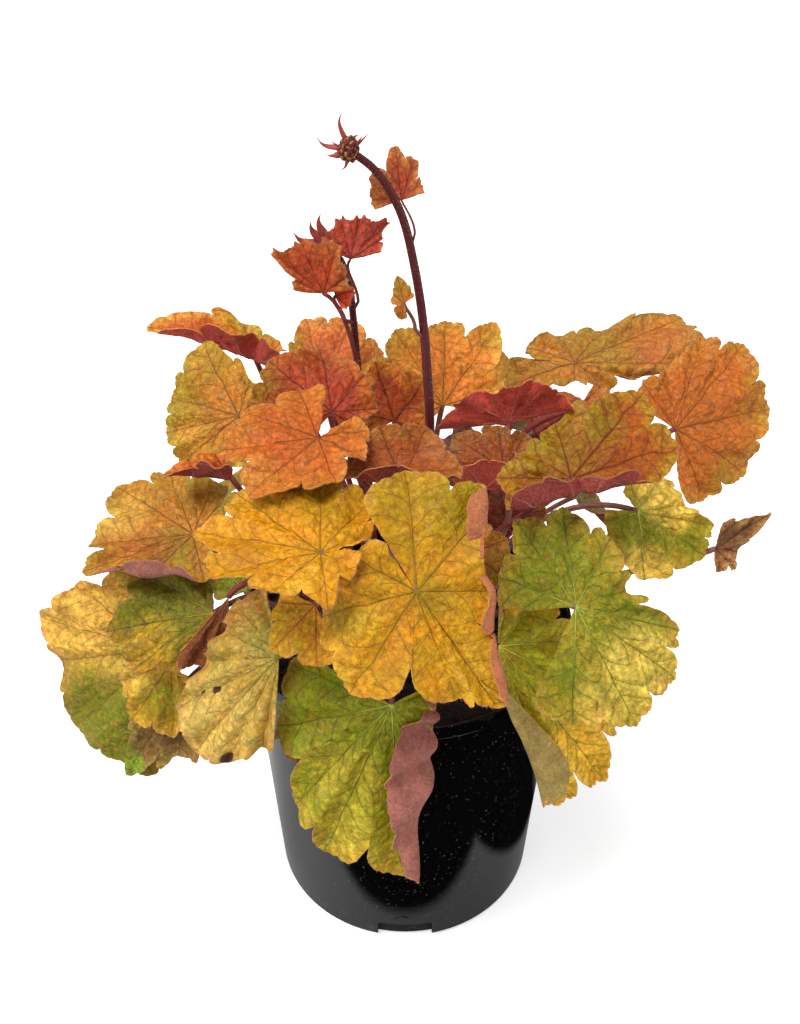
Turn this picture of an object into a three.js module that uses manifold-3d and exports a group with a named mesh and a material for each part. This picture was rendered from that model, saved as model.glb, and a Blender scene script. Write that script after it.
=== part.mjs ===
// A heuchera (coral bells) in a black nursery pot: amber, copper and green lobed leaves on long
// stalks, and two young flower stems. Millimetres, +Z up, origin at the centre of the pot's foot.
import * as THREE from "three";
import { mergeVertices } from "three/addons/utils/BufferGeometryUtils.js";
import Module from "manifold-3d";

const wasm = await Module();
wasm.setup();

// ---------------------------------------------------------------- driving sizes

const POT = {
  height: 165, // floor to lip
  footRadius: 68.5, // outside, at the floor
  topRadius: 77.2, // outside, under the lip
  wall: 1.6,
  base: 2, // thickness of the base plate
  lipRadius: 81,
  lipHeight: 8,
  notches: 4, // drain notches in the foot
  notchWidth: 31,
  notchHeight: 12,
  notchDepth: 8,
  drainRadius: 5, // the base plate's drain holes
  drainCircle: 34,
  sides: 36,
};

const SOIL = {
  top: 150, // surface at the pot's wall
  mound: 5, // extra height round the crown
  gap: 0.4, // to the pot
  sides: 22,
};

const CROWN = { radius: 8, height: 15, sunk: 6, clearance: 0.5, sides: 9 };

const STALK = {
  radius: 1.5,
  bract: 0.8, // radius of the stalks on the flower stems
  sides: 5,
  steps: 4,
  sunk: 12, // length of stalk below the soil's surface
  clearance: 0.7, // of its hole
  rise: 0.42, // share of the stalk's length that leaves the soil upright
  reach: 0.36, // share of it that runs into the leaf
  slope: 50, // degrees between the blade and the stalk that carries it
};

const BLADE = {
  thickness: 0.9,
  pleat: 0.045, // height of the folds between veins, as a share of the leaf's length
  ruffle: 0.05, // height of the wave along the edge, likewise
  cut: 0.2, // depth of the sinus between two lobes
  tooth: 0.035, // depth of the notch between two teeth
  heel: 24, // degrees from the last lobe to the edge beside the stalk
  shares: [0.36, 0.7, 1], // rings of points, hub to edge
  steps: [2, 1, 1 / 3], // spacing of their points; 2 is one lobe
  small: 22, // a leaf shorter than this has its rim's points every half mark
};

// A leaf's lobes: direction from the midrib in degrees, reach as a share of the leaf's length, and, where it
// isn't the usual one, the depth of the sinus that follows.
const FIVE_LOBES = [[-128, 0.66], [-64, 0.88], [0, 1], [64, 0.88], [128, 0.66]];
const BRACT_LOBES = [[-62, 0.8], [0, 1], [62, 0.8]];

// The stalks stand in the soil on three rings: young upright leaves inside, old hanging ones outside.
const RINGS = { 1: 15, 2: 24, 3: 34 };

// ---------------------------------------------------------------- leaves

// hub: where the stalk meets the blade. aim: heading of the midrib round Z from +X, its pitch above the
// horizon, and the blade's roll about it. length: hub to tip. cut, heel, ruffle: where they aren't the usual.
// bends: direction from the midrib, start, stretch, turn; the two lengths are shares of the leaf's length and
// a positive turn curls the blade up. root: the ring its stalk stands on and the bearing there.
const LEAVES = [
  // young leaves in the middle and on top
  { name: "middle_copper", tone: "copper", hub: [-30, -30, 292], aim: [124, 38, -26], length: 31,
    lobes: [[-150, 0.42], [-112, 0.6], [-66, 0.66], [-15, 0.92], [24, 1.12], [56, 1.12], [90, 0.6]],
    cut: 0.1, root: [1, -144] },
  { name: "front_left_salmon", tone: "salmon", hub: [-33, -68, 302], aim: [180, -1, -10], length: 34,
    heel: 14, lobes: [[-74, 1], [-28, 0.98], [10, 1.02], [50, 1.06], [108, 0.75, 0.3], [146, 0.62],
    [198, 0.58]], root: [1, -118] },
  { name: "middle_salmon", tone: "salmon", hub: [-2, -74, 290], aim: [-90, 0, 0], length: 23, cut: 0.1,
    heel: 19, lobes: [[-158, 1, 0.05], [-103, 1], [-38, 0.95], [30, 0.95], [95, 1], [156, 1, 0.05]],
    bends: [[0, 0.1, 0.5, 65], [180, 0.1, 0.5, 60]], root: [1, -92] },
  { name: "back_left_peach", tone: "salmon", hub: [-37, 20, 280], aim: [97, 48, -7], length: 31,
    lobes: [[-110, 0.8], [-70, 0.97], [-30, 1.03], [12, 1], [52, 0.62]], cut: 0.12, root: [1, 138] },
  { name: "middle_amber", tone: "amber", hub: [16, 5, 276], aim: [66, 66, 22], length: 38,
    lobes: [[-65, 0.75], [-24, 1.12], [8, 0.96], [42, 1.02], [76, 1.02], [125, 0.5]], root: [1, 35] },
  { name: "middle_red", tone: "crimson", hub: [-5, -12, 278], aim: [97, 65, -6], length: 26, heel: 40,
    lobes: [[-125, 0.6], [-40, 0.85], [15, 1], [75, 0.6]], root: [1, 100] },
  { name: "right_crimson", tone: "crimson", hub: [41, -38, 292], aim: [-80, 70, -24], length: 27,
    heel: 8, lobes: [[-112, 1.12, 0.15], [-70, 0.8], [-28, 0.58, 0.05], [3, 0.86, 0.05], [22, 1.12],
    [51, 1.06]], cut: 0.12, root: [1, -18] },
  { name: "right_copper", tone: "copper", hub: [61, -74, 288], aim: [19, 5, 24], length: 47,
    lobes: [[-158, 0.64, 0.05], [-110, 0.34], [-60, 0.36], [4, 1], [33, 1.12], [78, 0.58], [125, 0.48],
    [163, 0.6]], bends: [[-95, 0.13, 0.1, 140]], root: [1, -40] },
  { name: "front_crimson", tone: "crimson", hub: [30, -62, 276], aim: [-90, 65, 0], length: 20,
    lobes: [[-80, 0.55], [-25, 1], [30, 1], [85, 0.75]], root: [2, -66] },
  { name: "right_shade", tone: "amber", hub: [38, -54, 280], aim: [129, 43, -29], length: 19,
    lobes: [[-99, 0.93], [-60, 0.9], [-20, 0.92], [29, 1.25], [60, 1.3]], root: [2, -38] },
  { name: "middle_shade", tone: "brown", hub: [-15, -84, 270], aim: [126, 54, -31], length: 17,
    lobes: BRACT_LOBES, root: [2, -95] },
  { name: "right_red", tone: "crimson", hub: [56, -5, 267], aim: [18, 15, 38], length: 27,
    lobes: [[-55, 0.8], [10, 1], [75, 0.8]], root: [1, 8] },
  { name: "young_red", tone: "copper", hub: [-33, -9, 334], aim: [170, 30, -81], length: 25,
    lobes: [[-112, 0.46], [-76, 0.8], [-35, 0.85], [-8, 1.02], [4, 0.5]], cut: 0.12, slope: 30,
    reach: 0.12, root: [1, -170] },

  // full-grown leaves, spreading
  { name: "front_gold", tone: "gold", hub: [3, -122, 273], aim: [-44, -49, 31], length: 50, heel: 20,
    lobes: [[-146, 0.5, 0.1], [-104, 0.75, 0.1], [-61, 0.84, 0.36], [-8, 0.82, 0.02], [6, 1],
    [62, 0.58], [110, 0.9, 0.12], [156, 0.84]], bends: [[66, 0.49, 0.06, 160],
    [-130, 0.22, 0.5, -38]], root: [2, -80] },
  { name: "front_left_gold", tone: "gold", hub: [-30, -115, 284], aim: [167, 1, -12], length: 46,
    lobes: [[-138, 0.42], [-108, 0.72], [-74, 0.84], [-30, 0.98], [-4, 1.05], [26, 0.84], [62, 0.52],
    [112, 0.46], [158, 0.34]], root: [2, -112] },
  { name: "left_amber", tone: "amber", hub: [-89, -45, 242], aim: [-177, -12, -21], length: 49,
    lobes: [[-112, 0.57], [-74, 0.76], [-46, 1.06], [-8, 0.96], [8, 1], [40, 0.75], [100, 0.45]],
    bends: [[80, 0.37, 0.08, 120]], root: [2, -158] },
  { name: "left_olive", tone: "olive", hub: [-71, -10, 279], aim: [165, -8, -60], length: 36,
    lobes: [[-108, 0.45], [-60, 1.04], [-14, 0.92], [12, 1.0], [36, 1.02], [78, 0.62]], cut: 0.1,
    root: [2, 175] },
  { name: "back_left_red", tone: "copper", hub: [-69, 37, 283], aim: [178, 22, 0], length: 50,
    lobes: [[-120, 0.36], [-60, 0.42], [0, 1], [60, 0.5], [110, 0.45]], bends: [[90, 0, 0.3, 75],
    [-90, 0, 0.3, 40]], root: [2, 155] },
  { name: "left_red", tone: "crimson", hub: [-73, -32, 262], aim: [-169, 14, 0], length: 28,
    lobes: [[-60, 0.5], [0, 1], [60, 0.55]], bends: [[90, 0, 0.3, 70], [-90, 0, 0.3, 30]],
    root: [2, -171] },
  { name: "back_right_amber", tone: "amber", hub: [78, 40, 279], aim: [4, 0, 22], length: 63,
    lobes: [[-163, 0.56], [-100, 0.18], [-42, 0.32], [-18, 0.46, 0], [-3, 1.02, 0.05], [26, 1, 0.12],
    [50, 0.5], [105, 0.31], [150, 0.38]], root: [2, 28] },
  { name: "right_peach", tone: "salmon", hub: [118, 0, 267], aim: [35, 18, 53], length: 53,
    lobes: [[-98, 0.66], [-60, 0.8], [-22, 0.94], [12, 1.04], [34, 0.86], [62, 0.5], [95, 0.5]],
    cut: 0.12, root: [2, 2] },
  { name: "right_green", tone: "green", hub: [64, -95, 244], aim: [-7, -28, 49], length: 47,
    lobes: [[-66, 0.95], [-36, 1.1], [-8, 1.08], [14, 0.98, 0.25], [42, 0.48], [88, 0.64], [122, 0.81],
    [152, 0.86], [184, 0.7]], cut: 0.14, root: [2, -52] },
  { name: "right_curled", tone: "green", hub: [98, -35, 247], aim: [-5, -24, 57], length: 38,
    ruffle: 0.06, cut: 0.1, lobes: [[-135, 0.38], [-60, 0.78], [-8, 0.97], [12, 0.93], [30, 0.55],
    [80, 0.5], [130, 0.38]], root: [2, -22] },
  { name: "left_low_gold", tone: "gold", hub: [-100, -69, 192], aim: [-176, -70, -75], length: 41,
    lobes: [[-76, 0.5], [-40, 0.72], [-12, 0.98], [16, 1], [44, 0.5]], root: [3, 167] },
  { name: "left_turned", tone: "copper", hub: [-70, -80, 237], ruffle: 0.02, aim: [-170, -58, 113],
    length: 41, heel: 5, cut: 0.05, lobes: [[-24, 0.78], [-11, 0.86], [2, 0.97]], slope: 8, reach: 0.22,
    root: [3, -135] },
  { name: "inner_shade", tone: "crimson", hub: [43, -36, 235], aim: [105, 59, -13], length: 27,
    lobes: [[-48, 0.8], [0, 1], [42, 0.9]], root: [3, -41] },
  { name: "right_brown", tone: "brown", hub: [133, -37, 229], aim: [35, 7, 50], length: 34,
    lobes: [[-110, 0.3], [-72, 0.38], [-30, 0.42], [2, 1.03], [20, 0.5]], cut: 0.3, root: [3, -18] },
  { name: "right_inner_amber", tone: "amber", hub: [24, -85, 262], aim: [-6, -15, 54], length: 16,
    lobes: [[-75, 1], [-19, 1.07], [35, 0.95], [85, 0.8]], root: [3, -78] },

  // old leaves, low and hanging
  { name: "front_green", tone: "green", hub: [-6, -98, 196], aim: [-82, -68, 10], length: 79, heel: 12,
    lobes: [[-113, 0.56, 0.08], [-78, 0.62, 0.3], [-45, 0.74, 0.08], [-26, 0.92, 0.18], [0, 1, 0.02],
    [23, 0.73, 0.02], [46, 0.57, 0.02], [74, 0.36, 0.05], [106, 0.26]], bends: [[77, 0.225, 0.06, 165]],
    root: [3, -95] },
  { name: "front_right_green", tone: "green", hub: [37, -85, 216], aim: [-25, -69, 43], length: 86,
    heel: 8, lobes: [[-12, 0.85, 0.05], [2, 1.08], [16, 1.08], [36, 0.8], [65, 0.47], [114, 0.3],
    [160, 0.24]], bends: [[-90, 0.03, 0.06, 160]], root: [3, -62] },
  { name: "front_left_straw", tone: "straw", hub: [-50, -95, 219], aim: [-167, -47, -57], length: 57,
    heel: 8, lobes: [[-122, 0.5], [-98, 0.48], [-66, 0.44], [-38, 0.6], [-17, 0.9], [2, 1], [17, 0.9],
    [31, 0.7]], cut: 0.03, root: [3, -125] },
  { name: "small_amber", tone: "amber", hub: [-34, -101, 250], aim: [-133, -54, -33], length: 27,
    lobes: [[-68, 0.55], [-20, 0.9], [25, 0.9]], root: [2, -126] },
  { name: "left_green", tone: "green", hub: [-80, -66, 217], aim: [178, -18, -36], length: 52,
    lobes: [[-74, 0.4], [-40, 0.75], [-5, 1], [20, 0.84], [44, 0.56], [76, 0.26]], root: [3, -145] },
  { name: "left_small_green", tone: "green", hub: [-66, -64, 227], aim: [148, 33, -47], length: 20,
    lobes: [[-91, 0.6], [-50, 0.9], [0, 1], [40, 0.7]], root: [2, -142] },
  { name: "left_shade", tone: "olive", hub: [-80, -42, 222], aim: [175, -14, -54], length: 51,
    lobes: [[-65, 0.33], [-28, 0.66], [-6, 1], [22, 0.72]], root: [3, 177] },
  { name: "far_left_pale", tone: "straw", hub: [-111, -42, 176], aim: [164, 4, -75], length: 61,
    cut: 0.12, heel: 16, lobes: [[-62, 0.66], [-27, 0.8, 0.05], [0, 1.04, 0.05], [22, 0.93, 0.04],
    [52, 1.15, 0.04], [80, 1.1]], root: [3, -168] },
  { name: "low_left_brown", tone: "brown", hub: [-96, -58, 173], aim: [-168, -56, -55], length: 64,
    lobes: [[-22, 0.45], [0, 1.08], [22, 0.66]], root: [3, -156] },
  { name: "low_left_olive", tone: "brown", hub: [-37, -92, 184], aim: [-110, -78, -10], length: 34,
    lobes: [[-40, 0.7], [0, 1], [40, 0.7]], root: [3, -109] },

  // leaves at the back
  { name: "back_amber", tone: "amber", hub: [26, 58, 262], aim: [88, 5, 0], length: 38,
    lobes: FIVE_LOBES, root: [2, 62] },
  { name: "back_gold", tone: "gold", hub: [-15, 70, 252], aim: [100, -5, 8], length: 44,
    lobes: FIVE_LOBES, root: [2, 98] },
  { name: "back_copper", tone: "copper", hub: [-52, 66, 240], aim: [135, -12, 0], length: 42,
    lobes: FIVE_LOBES, root: [2, 125] },
  { name: "back_right_green", tone: "green", hub: [64, 74, 222], aim: [50, -25, 0], length: 42,
    lobes: FIVE_LOBES, root: [2, 46] },
  { name: "low_back_green", tone: "green", hub: [20, 96, 205], aim: [80, -42, 0], length: 46,
    lobes: FIVE_LOBES, root: [3, 78] },
  { name: "low_back_straw", tone: "straw", hub: [-42, 88, 198], aim: [115, -42, 0], length: 46,
    lobes: FIVE_LOBES, root: [3, 113] },
  { name: "low_left_green", tone: "green", hub: [-90, 42, 205], aim: [152, -32, 0], length: 42,
    lobes: FIVE_LOBES, root: [3, 150] },
  { name: "low_right_green", tone: "green", hub: [86, 42, 204], aim: [24, -42, 0], length: 40,
    lobes: FIVE_LOBES, root: [3, 22] },

  // a small one beside the red leaf in the middle
  { name: "right_small", tone: "salmon", hub: [71, -20, 288], aim: [7, 2, 55], length: 18, heel: 12,
    lobes: [[-46, 0.45], [-4, 1], [40, 0.8]], cut: 0.1, root: [2, -8] },
];

// ---------------------------------------------------------------- flower stems

// `line` runs from the ground up; `bud` is the radius of the cluster at its end, `spikes` its pointed scales.
const FLOWER_STEMS = [
  { name: "tall", root: [1, -66], radius: 1.9, bud: 4.5,
    line: [[9.7, -25, 283], [8.3, -18, 305], [7, -12, 320], [3.3, -6, 343], [-2.6, -2, 365],
      [-12, 0, 380], [-22, 0, 388]],
    spikes: [[-12, 0, 6], [0, 0, 15], [-9, -3, 0], [-4, -3, -7], [5, 1, 5]] },
  { name: "short", root: [1, 164], radius: 1.5, bud: 3.2,
    line: [[-20.5, 0, 297.5], [-22, 1, 321], [-23.2, 3, 333.5], [-26, 4, 342], [-30.3, 5, 348]],
    spikes: [[-15, 0, 8], [-7, 0, 12], [-2, 0, 15]] },
];

// Small leaves on the flower stems; `from` is where the stalk leaves the stem.
const BRACTS = [
  { name: "tall_upper", tone: "copper", hub: [-2, 2, 368], aim: [99, 55, -7], length: 21,
    lobes: [[-57, 0.46, 0.3], [-23, 0.84, 0.22], [2, 1, 0.5], [44, 0.74, 0.12], [82, 0.56]], cut: 0.1,
    from: [3.2, -2, 356] },
  { name: "tall_lower", tone: "amber", hub: [-1, -16, 333], aim: [114, 52, -20], length: 11,
    lobes: [[-50, 0.5], [0, 1], [36, 0.5, 0.5], [155, 0.6]], cut: 0.2, from: [3.4, -14, 321] },
  { name: "short_upper", tone: "crimson", hub: [-22.2, -3, 346], aim: [32, 29, 43], length: 20,
    lobes: [[-8, 0.68], [4, 1.08], [36, 0.88], [62, 0.84], [95, 0.66]], from: [-19.6, -1, 327] },
  { name: "short_lower", tone: "crimson", hub: [-28.5, -6, 331.5], aim: [20, 12, 49], length: 8,
    lobes: BRACT_LOBES, from: [-25, -8, 322] },
];

// ---------------------------------------------------------------- solids

const radians = THREE.MathUtils.degToRad;
const lerp = THREE.MathUtils.lerp;

function solidOf(geometry) {
  const bare = geometry.index ? geometry.toNonIndexed() : geometry.clone();
  bare.deleteAttribute("normal");
  bare.deleteAttribute("uv");
  const merged = mergeVertices(bare, 1e-4);
  return new wasm.Manifold(
    new wasm.Mesh({
      numProp: 3,
      vertProperties: merged.attributes.position.array,
      triVerts: new Uint32Array(merged.index.array),
    }),
  );
}

function geometryOf(solid) {
  const { vertProperties, triVerts, numProp } = solid.getMesh();
  const position = new Float32Array((vertProperties.length / numProp) * 3);
  for (let i = 0; i < position.length / 3; i++) {
    position.set(vertProperties.subarray(i * numProp, i * numProp + 3), i * 3);
  }
  const geometry = new THREE.BufferGeometry();
  geometry.setAttribute("position", new THREE.BufferAttribute(position, 3));
  geometry.setIndex(new THREE.BufferAttribute(new Uint32Array(triVerts), 1));
  geometry.computeVertexNormals();
  return geometry;
}

function polygon(radius, sides) {
  const shape = new THREE.Shape();
  for (let i = 0; i < sides; i++) {
    const turn = (2 * Math.PI * i) / sides;
    const x = radius * Math.cos(turn);
    const y = radius * Math.sin(turn);
    if (i) shape.lineTo(x, y);
    else shape.moveTo(x, y);
  }
  shape.closePath();
  return shape;
}

function tube(curve, radius, sides, steps) {
  return new THREE.ExtrudeGeometry(polygon(radius, sides), { steps, extrudePath: curve });
}

// A solid of revolution about Z; the profile starts and ends on the axis and runs outwards from the bottom.
function turned(profile, sides) {
  const points = profile.map(([radius, height]) => new THREE.Vector2(radius, height));
  return new THREE.LatheGeometry(points, sides).rotateX(Math.PI / 2);
}

// ---------------------------------------------------------------- one leaf

// The rim runs heel, lobe, sinus, lobe ... lobe, heel; odd marks are lobes.
function rimMarks({ lobes, cut, heel }) {
  const marks = [[lobes[0][0] - heel, lobes[0][1], cut]];
  lobes.forEach(([turn, reach, sinus = cut], i) => {
    const next = lobes[i + 1] ?? [turn + 2 * heel, reach];
    marks.push([turn, reach, 0], [(turn + next[0]) / 2, (reach + next[1]) / 2, sinus]);
  });
  return marks;
}

// Direction from the midrib in degrees and distance from the hub of the rim, `mark` counting along its marks.
function rimAt(leaf, mark) {
  const i = Math.min(Math.floor(mark + 1e-9), leaf.marks.length - 2);
  const [turn, reach, cut] = leaf.marks[i];
  const [nextTurn, nextReach, nextCut] = leaf.marks[i + 1];
  const ease = (1 - Math.cos(Math.PI * (mark - i))) / 2;
  const lobe = 1 - Math.max(cut, nextCut) * (1 - Math.abs(Math.sin((Math.PI * mark) / 2)) ** 0.5);
  const tooth = 1 - BLADE.tooth * (1 - Math.abs(Math.sin((3 * Math.PI * mark) / 2)));
  return [lerp(turn, nextTurn, mark - i), leaf.length * lerp(reach, nextReach, ease) * lobe * tooth];
}

// Rolls the blade round a cylinder whose axis lies across `direction`, from `start` over `stretch`.
function bend(point, [direction, start, stretch, turn], length) {
  const along = new THREE.Vector2(Math.cos(radians(direction)), Math.sin(radians(direction)));
  const reach = along.x * point.x + along.y * point.y - start * length;
  if (reach <= 0) return;
  const span = stretch * length;
  const angle = radians(turn) * Math.min(reach / span, 1);
  const radius = span / radians(turn);
  const past = Math.max(reach - span, 0);
  const arm = radius - point.z;
  const shift = arm * Math.sin(angle) + past * Math.cos(angle) - reach;
  point.x += along.x * shift;
  point.y += along.y * shift;
  point.z = radius - arm * Math.cos(angle) + past * Math.sin(angle);
}

// A point of the blade's middle surface, `share` of the way from the hub to the rim.
function bladePoint(leaf, mark, share) {
  const [turn, reach] = rimAt(leaf, mark);
  const pleat = BLADE.pleat * Math.cos(Math.PI * mark) * share ** 1.5;
  const ruffle = leaf.ruffle * Math.sin(radians(3 * turn) + leaf.phase) * share ** 2;
  const point = new THREE.Vector3(
    share * reach * Math.cos(radians(turn)),
    share * reach * Math.sin(radians(turn)),
    leaf.length * (pleat + ruffle),
  );
  for (const step of leaf.bends) bend(point, step, leaf.length);
  return point;
}

function bladeNormal(leaf, mark, share) {
  const at = bladePoint(leaf, mark, share);
  const out = bladePoint(leaf, mark, share + 1e-3).sub(at);
  const round = bladePoint(leaf, mark + 0.02, share).sub(at);
  return out.cross(round).normalize();
}

// How far out a ring of points stands. Where its spoke crosses a fold, the two inner rings follow the fold.
function ringShare(leaf, ring, mark) {
  const plain = BLADE.shares[ring];
  const fold = leaf.bends.find((step) => step[3] > 100);
  if (!fold || plain === 1) return plain;
  const [turn, reach] = rimAt(leaf, mark);
  const run = (reach / leaf.length) * Math.cos(radians(turn - fold[0]));
  if (run <= fold[1] / 0.94) return plain;
  return ring === 0 ? fold[1] / run : Math.min((fold[1] + fold[2]) / run, 0.97);
}

// Turns the blade from its own axes (midrib, side, face) to the plant's.
function bladePlace(leaf) {
  const [heading, pitch, roll] = leaf.aim.map(radians);
  const midrib = new THREE.Vector3(
    Math.cos(heading) * Math.cos(pitch),
    Math.sin(heading) * Math.cos(pitch),
    Math.sin(pitch),
  );
  const side = new THREE.Vector3(-Math.sin(heading), Math.cos(heading), 0).applyAxisAngle(midrib, roll);
  const face = midrib.clone().cross(side);
  return new THREE.Matrix4().makeBasis(midrib, side, face).setPosition(...leaf.hub);
}

// The blade is a closed sheet: rings of points on its upper face, the same on its lower face, and a rim.
function bladeGeometry(leaf) {
  const place = bladePlace(leaf);
  const end = leaf.marks.length - 1;
  const top = [];
  const low = [];
  const add = (mark, share) => {
    const middle = bladePoint(leaf, mark, share);
    const half = bladeNormal(leaf, mark, Math.max(share, 0.02)).multiplyScalar(BLADE.thickness / 2);
    top.push(middle.clone().add(half).applyMatrix4(place));
    low.push(middle.clone().sub(half).applyMatrix4(place));
  };
  add(1, 0);
  const rings = [[0]];
  const rimStep = leaf.length < BLADE.small ? 1 / 2 : BLADE.steps[2];
  [BLADE.steps[0], BLADE.steps[1], rimStep].forEach((step, ring) => {
    const count = Math.round(end / step);
    rings.push(Array.from({ length: count + 1 }, (_, i) => top.length + i));
    for (let i = 0; i <= count; i++) add(i * step, ringShare(leaf, ring, i * step));
  });

  const faces = [];
  for (let ring = 1; ring < rings.length; ring++) {
    const inner = rings[ring - 1];
    const outer = rings[ring];
    const cells = Math.max(inner.length - 1, 1);
    const split = (outer.length - 1) / cells;
    const middle = Math.floor(split / 2);
    for (let i = 0; i < cells; i++) {
      for (let j = 0; j < split; j++) {
        const near = inner[ring === 1 || j < middle ? i : i + 1];
        faces.push([near, outer[i * split + j], outer[i * split + j + 1]]);
      }
      if (ring > 1) faces.push([inner[i], outer[i * split + middle], inner[i + 1]]);
    }
  }

  const sides = rings.slice(1, -1);
  const rim = [0, ...sides.map((r) => r[0]), ...rings.at(-1), ...sides.reverse().map((r) => r.at(-1))];
  const position = [];
  const triangle = (...corners) => corners.forEach((corner) => position.push(...corner.toArray()));
  for (const [a, b, c] of faces) {
    triangle(top[a], top[b], top[c]);
    triangle(low[a], low[c], low[b]);
  }
  rim.forEach((a, i) => {
    const b = rim[(i + 1) % rim.length];
    triangle(top[a], low[a], low[b]);
    triangle(top[a], low[b], top[b]);
  });
  const geometry = new THREE.BufferGeometry();
  geometry.setAttribute("position", new THREE.Float32BufferAttribute(position, 3));
  return geometry;
}

function rootAt([ring, bearing], depth) {
  const turn = radians(bearing);
  return new THREE.Vector3(RINGS[ring] * Math.cos(turn), RINGS[ring] * Math.sin(turn), SOIL.top - depth);
}

// The stalk's line: upright out of the soil, then over and up into the hub from behind and below the blade.
function stalkCurve(leaf, depth) {
  const foot = leaf.from ? new THREE.Vector3(...leaf.from) : rootAt(leaf.root, depth);
  const place = bladePlace(leaf);
  const hub = new THREE.Vector3(...leaf.hub);
  const midrib = new THREE.Vector3().setFromMatrixColumn(place, 0);
  const face = new THREE.Vector3().setFromMatrixColumn(place, 2);
  const slope = radians(leaf.slope ?? STALK.slope);
  const reach = leaf.reach ?? STALK.reach;
  const arrive = midrib.multiplyScalar(Math.cos(slope)).addScaledVector(face, Math.sin(slope));
  const far = foot.distanceTo(hub);
  return new THREE.CubicBezierCurve3(
    foot,
    foot.clone().add(new THREE.Vector3(0, 0, STALK.rise * far)),
    hub.clone().addScaledVector(arrive, -reach * far),
    hub,
  );
}

function leafSolid(leaf) {
  const stalk = tube(stalkCurve(leaf, STALK.sunk), leaf.stalk, STALK.sides, STALK.steps);
  return solidOf(bladeGeometry(leaf)).add(solidOf(stalk));
}

function completed(leaf, i) {
  const { cut, heel, ruffle } = BLADE;
  const whole = { cut, heel, ruffle, phase: 1.7 * i, bends: [], ...leaf };
  return { ...whole, stalk: leaf.from ? STALK.bract : STALK.radius, marks: rimMarks(whole) };
}

const leaves = LEAVES.map(completed);
const bracts = BRACTS.map(completed);

// ---------------------------------------------------------------- pot, soil and crown

function potSolid() {
  const { height, footRadius: foot, topRadius: top, wall, base, lipRadius: lip, lipHeight } = POT;
  const shell = solidOf(
    turned(
      [
        [0, 0], [foot - 2, 0], [foot, 2], [top, height - lipHeight - 2], [lip, height - lipHeight],
        [lip, height], [lip - wall, height], [top - wall, height - lipHeight - 2],
        [foot - wall, base], [0, base],
      ],
      POT.sides,
    ),
  );
  const cuts = [];
  for (let i = 0; i < POT.notches; i++) {
    const turn = (2 * Math.PI * (i + 0.5)) / POT.notches - Math.PI / 4;
    const notch = new THREE.BoxGeometry(2 * POT.notchDepth, POT.notchWidth, 2 * POT.notchHeight);
    cuts.push(solidOf(notch.translate(foot, 0, 0).rotateZ(turn)));
    const drain = new THREE.CylinderGeometry(POT.drainRadius, POT.drainRadius, 3 * base, 8);
    drain.rotateX(Math.PI / 2).translate(POT.drainCircle, 0, base / 2);
    cuts.push(solidOf(drain.rotateZ(turn + Math.PI / 4)));
  }
  return cuts.reduce((solid, cut) => solid.subtract(cut), shell);
}

function soilSolid() {
  const wallAt = (z) => lerp(POT.footRadius, POT.topRadius, z / POT.height) - POT.wall - SOIL.gap - 0.2;
  const bottom = POT.base + SOIL.gap;
  let soil = solidOf(
    turned(
      [
        [0, bottom], [wallAt(bottom), bottom], [wallAt(SOIL.top), SOIL.top], [45, SOIL.top + 1],
        [20, SOIL.top + SOIL.mound], [0, SOIL.top + SOIL.mound],
      ],
      SOIL.sides,
    ),
  );
  for (const leaf of leaves) {
    const line = stalkCurve(leaf, STALK.sunk + 0.6);
    soil = soil.subtract(solidOf(tube(line, STALK.radius + STALK.clearance, STALK.sides, STALK.steps)));
  }
  for (const stem of FLOWER_STEMS) {
    const hole = tube(stemCurve(stem, STALK.sunk + 0.6), stem.radius + STALK.clearance, STALK.sides, 12);
    soil = soil.subtract(solidOf(hole));
  }
  return soil.subtract(solidOf(crownGeometry(CROWN.clearance)));
}

function crownGeometry(extra) {
  const radius = CROWN.radius + extra;
  const foot = SOIL.top + SOIL.mound - CROWN.sunk - extra;
  const top = SOIL.top + SOIL.mound + CROWN.height + extra;
  const profile = [[0, foot], [radius, foot], [radius, top - 8], [radius * 0.7, top - 2], [0, top]];
  return turned(profile, CROWN.sides);
}

// ---------------------------------------------------------------- flower stems

function stemCurve(stem, depth) {
  const foot = rootAt(stem.root, depth);
  const low = foot.clone().add(new THREE.Vector3(0, 0, depth + 30));
  return new THREE.CatmullRomCurve3([foot, low, ...stem.line.map((point) => new THREE.Vector3(...point))]);
}

function stemSolid(stem) {
  const curve = stemCurve(stem, STALK.sunk);
  const end = curve.getPoint(1);
  const bud = new THREE.SphereGeometry(stem.bud, 8, 6).scale(1, 1, 1.25);
  const scales = stem.spikes.map((spike) => {
    const tip = new THREE.Vector3(...spike);
    const cone = new THREE.ConeGeometry(1.2, tip.length(), 5).translate(0, tip.length() / 2, 0);
    const turn = new THREE.Quaternion().setFromUnitVectors(new THREE.Vector3(0, 1, 0), tip.normalize());
    return solidOf(cone.applyQuaternion(turn).translate(...end.toArray()));
  });
  const parts = [solidOf(tube(curve, stem.radius, STALK.sides, 12)), ...scales];
  return parts.reduce((solid, part) => solid.add(part), solidOf(bud.translate(...end.toArray())));
}

// ---------------------------------------------------------------- the plant in its pot

const COLOURS = {
  copper: 0xb5552e, salmon: 0xcf7a4a, crimson: 0xa02c34, amber: 0xc98a35, gold: 0xd7a32c,
  olive: 0x9a8a3a, green: 0x7f9a3c, straw: 0xc0b878, brown: 0x7d5a48,
  pot: 0x101012, soil: 0x3a2a20, crown: 0x5a3b28, stem: 0x6e1f26,
};

const plant = new THREE.Group();

function addNode(name, solid, colour) {
  const material = new THREE.MeshStandardMaterial({ color: COLOURS[colour] });
  const mesh = new THREE.Mesh(geometryOf(solid), material);
  mesh.name = name;
  plant.add(mesh);
}

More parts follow.
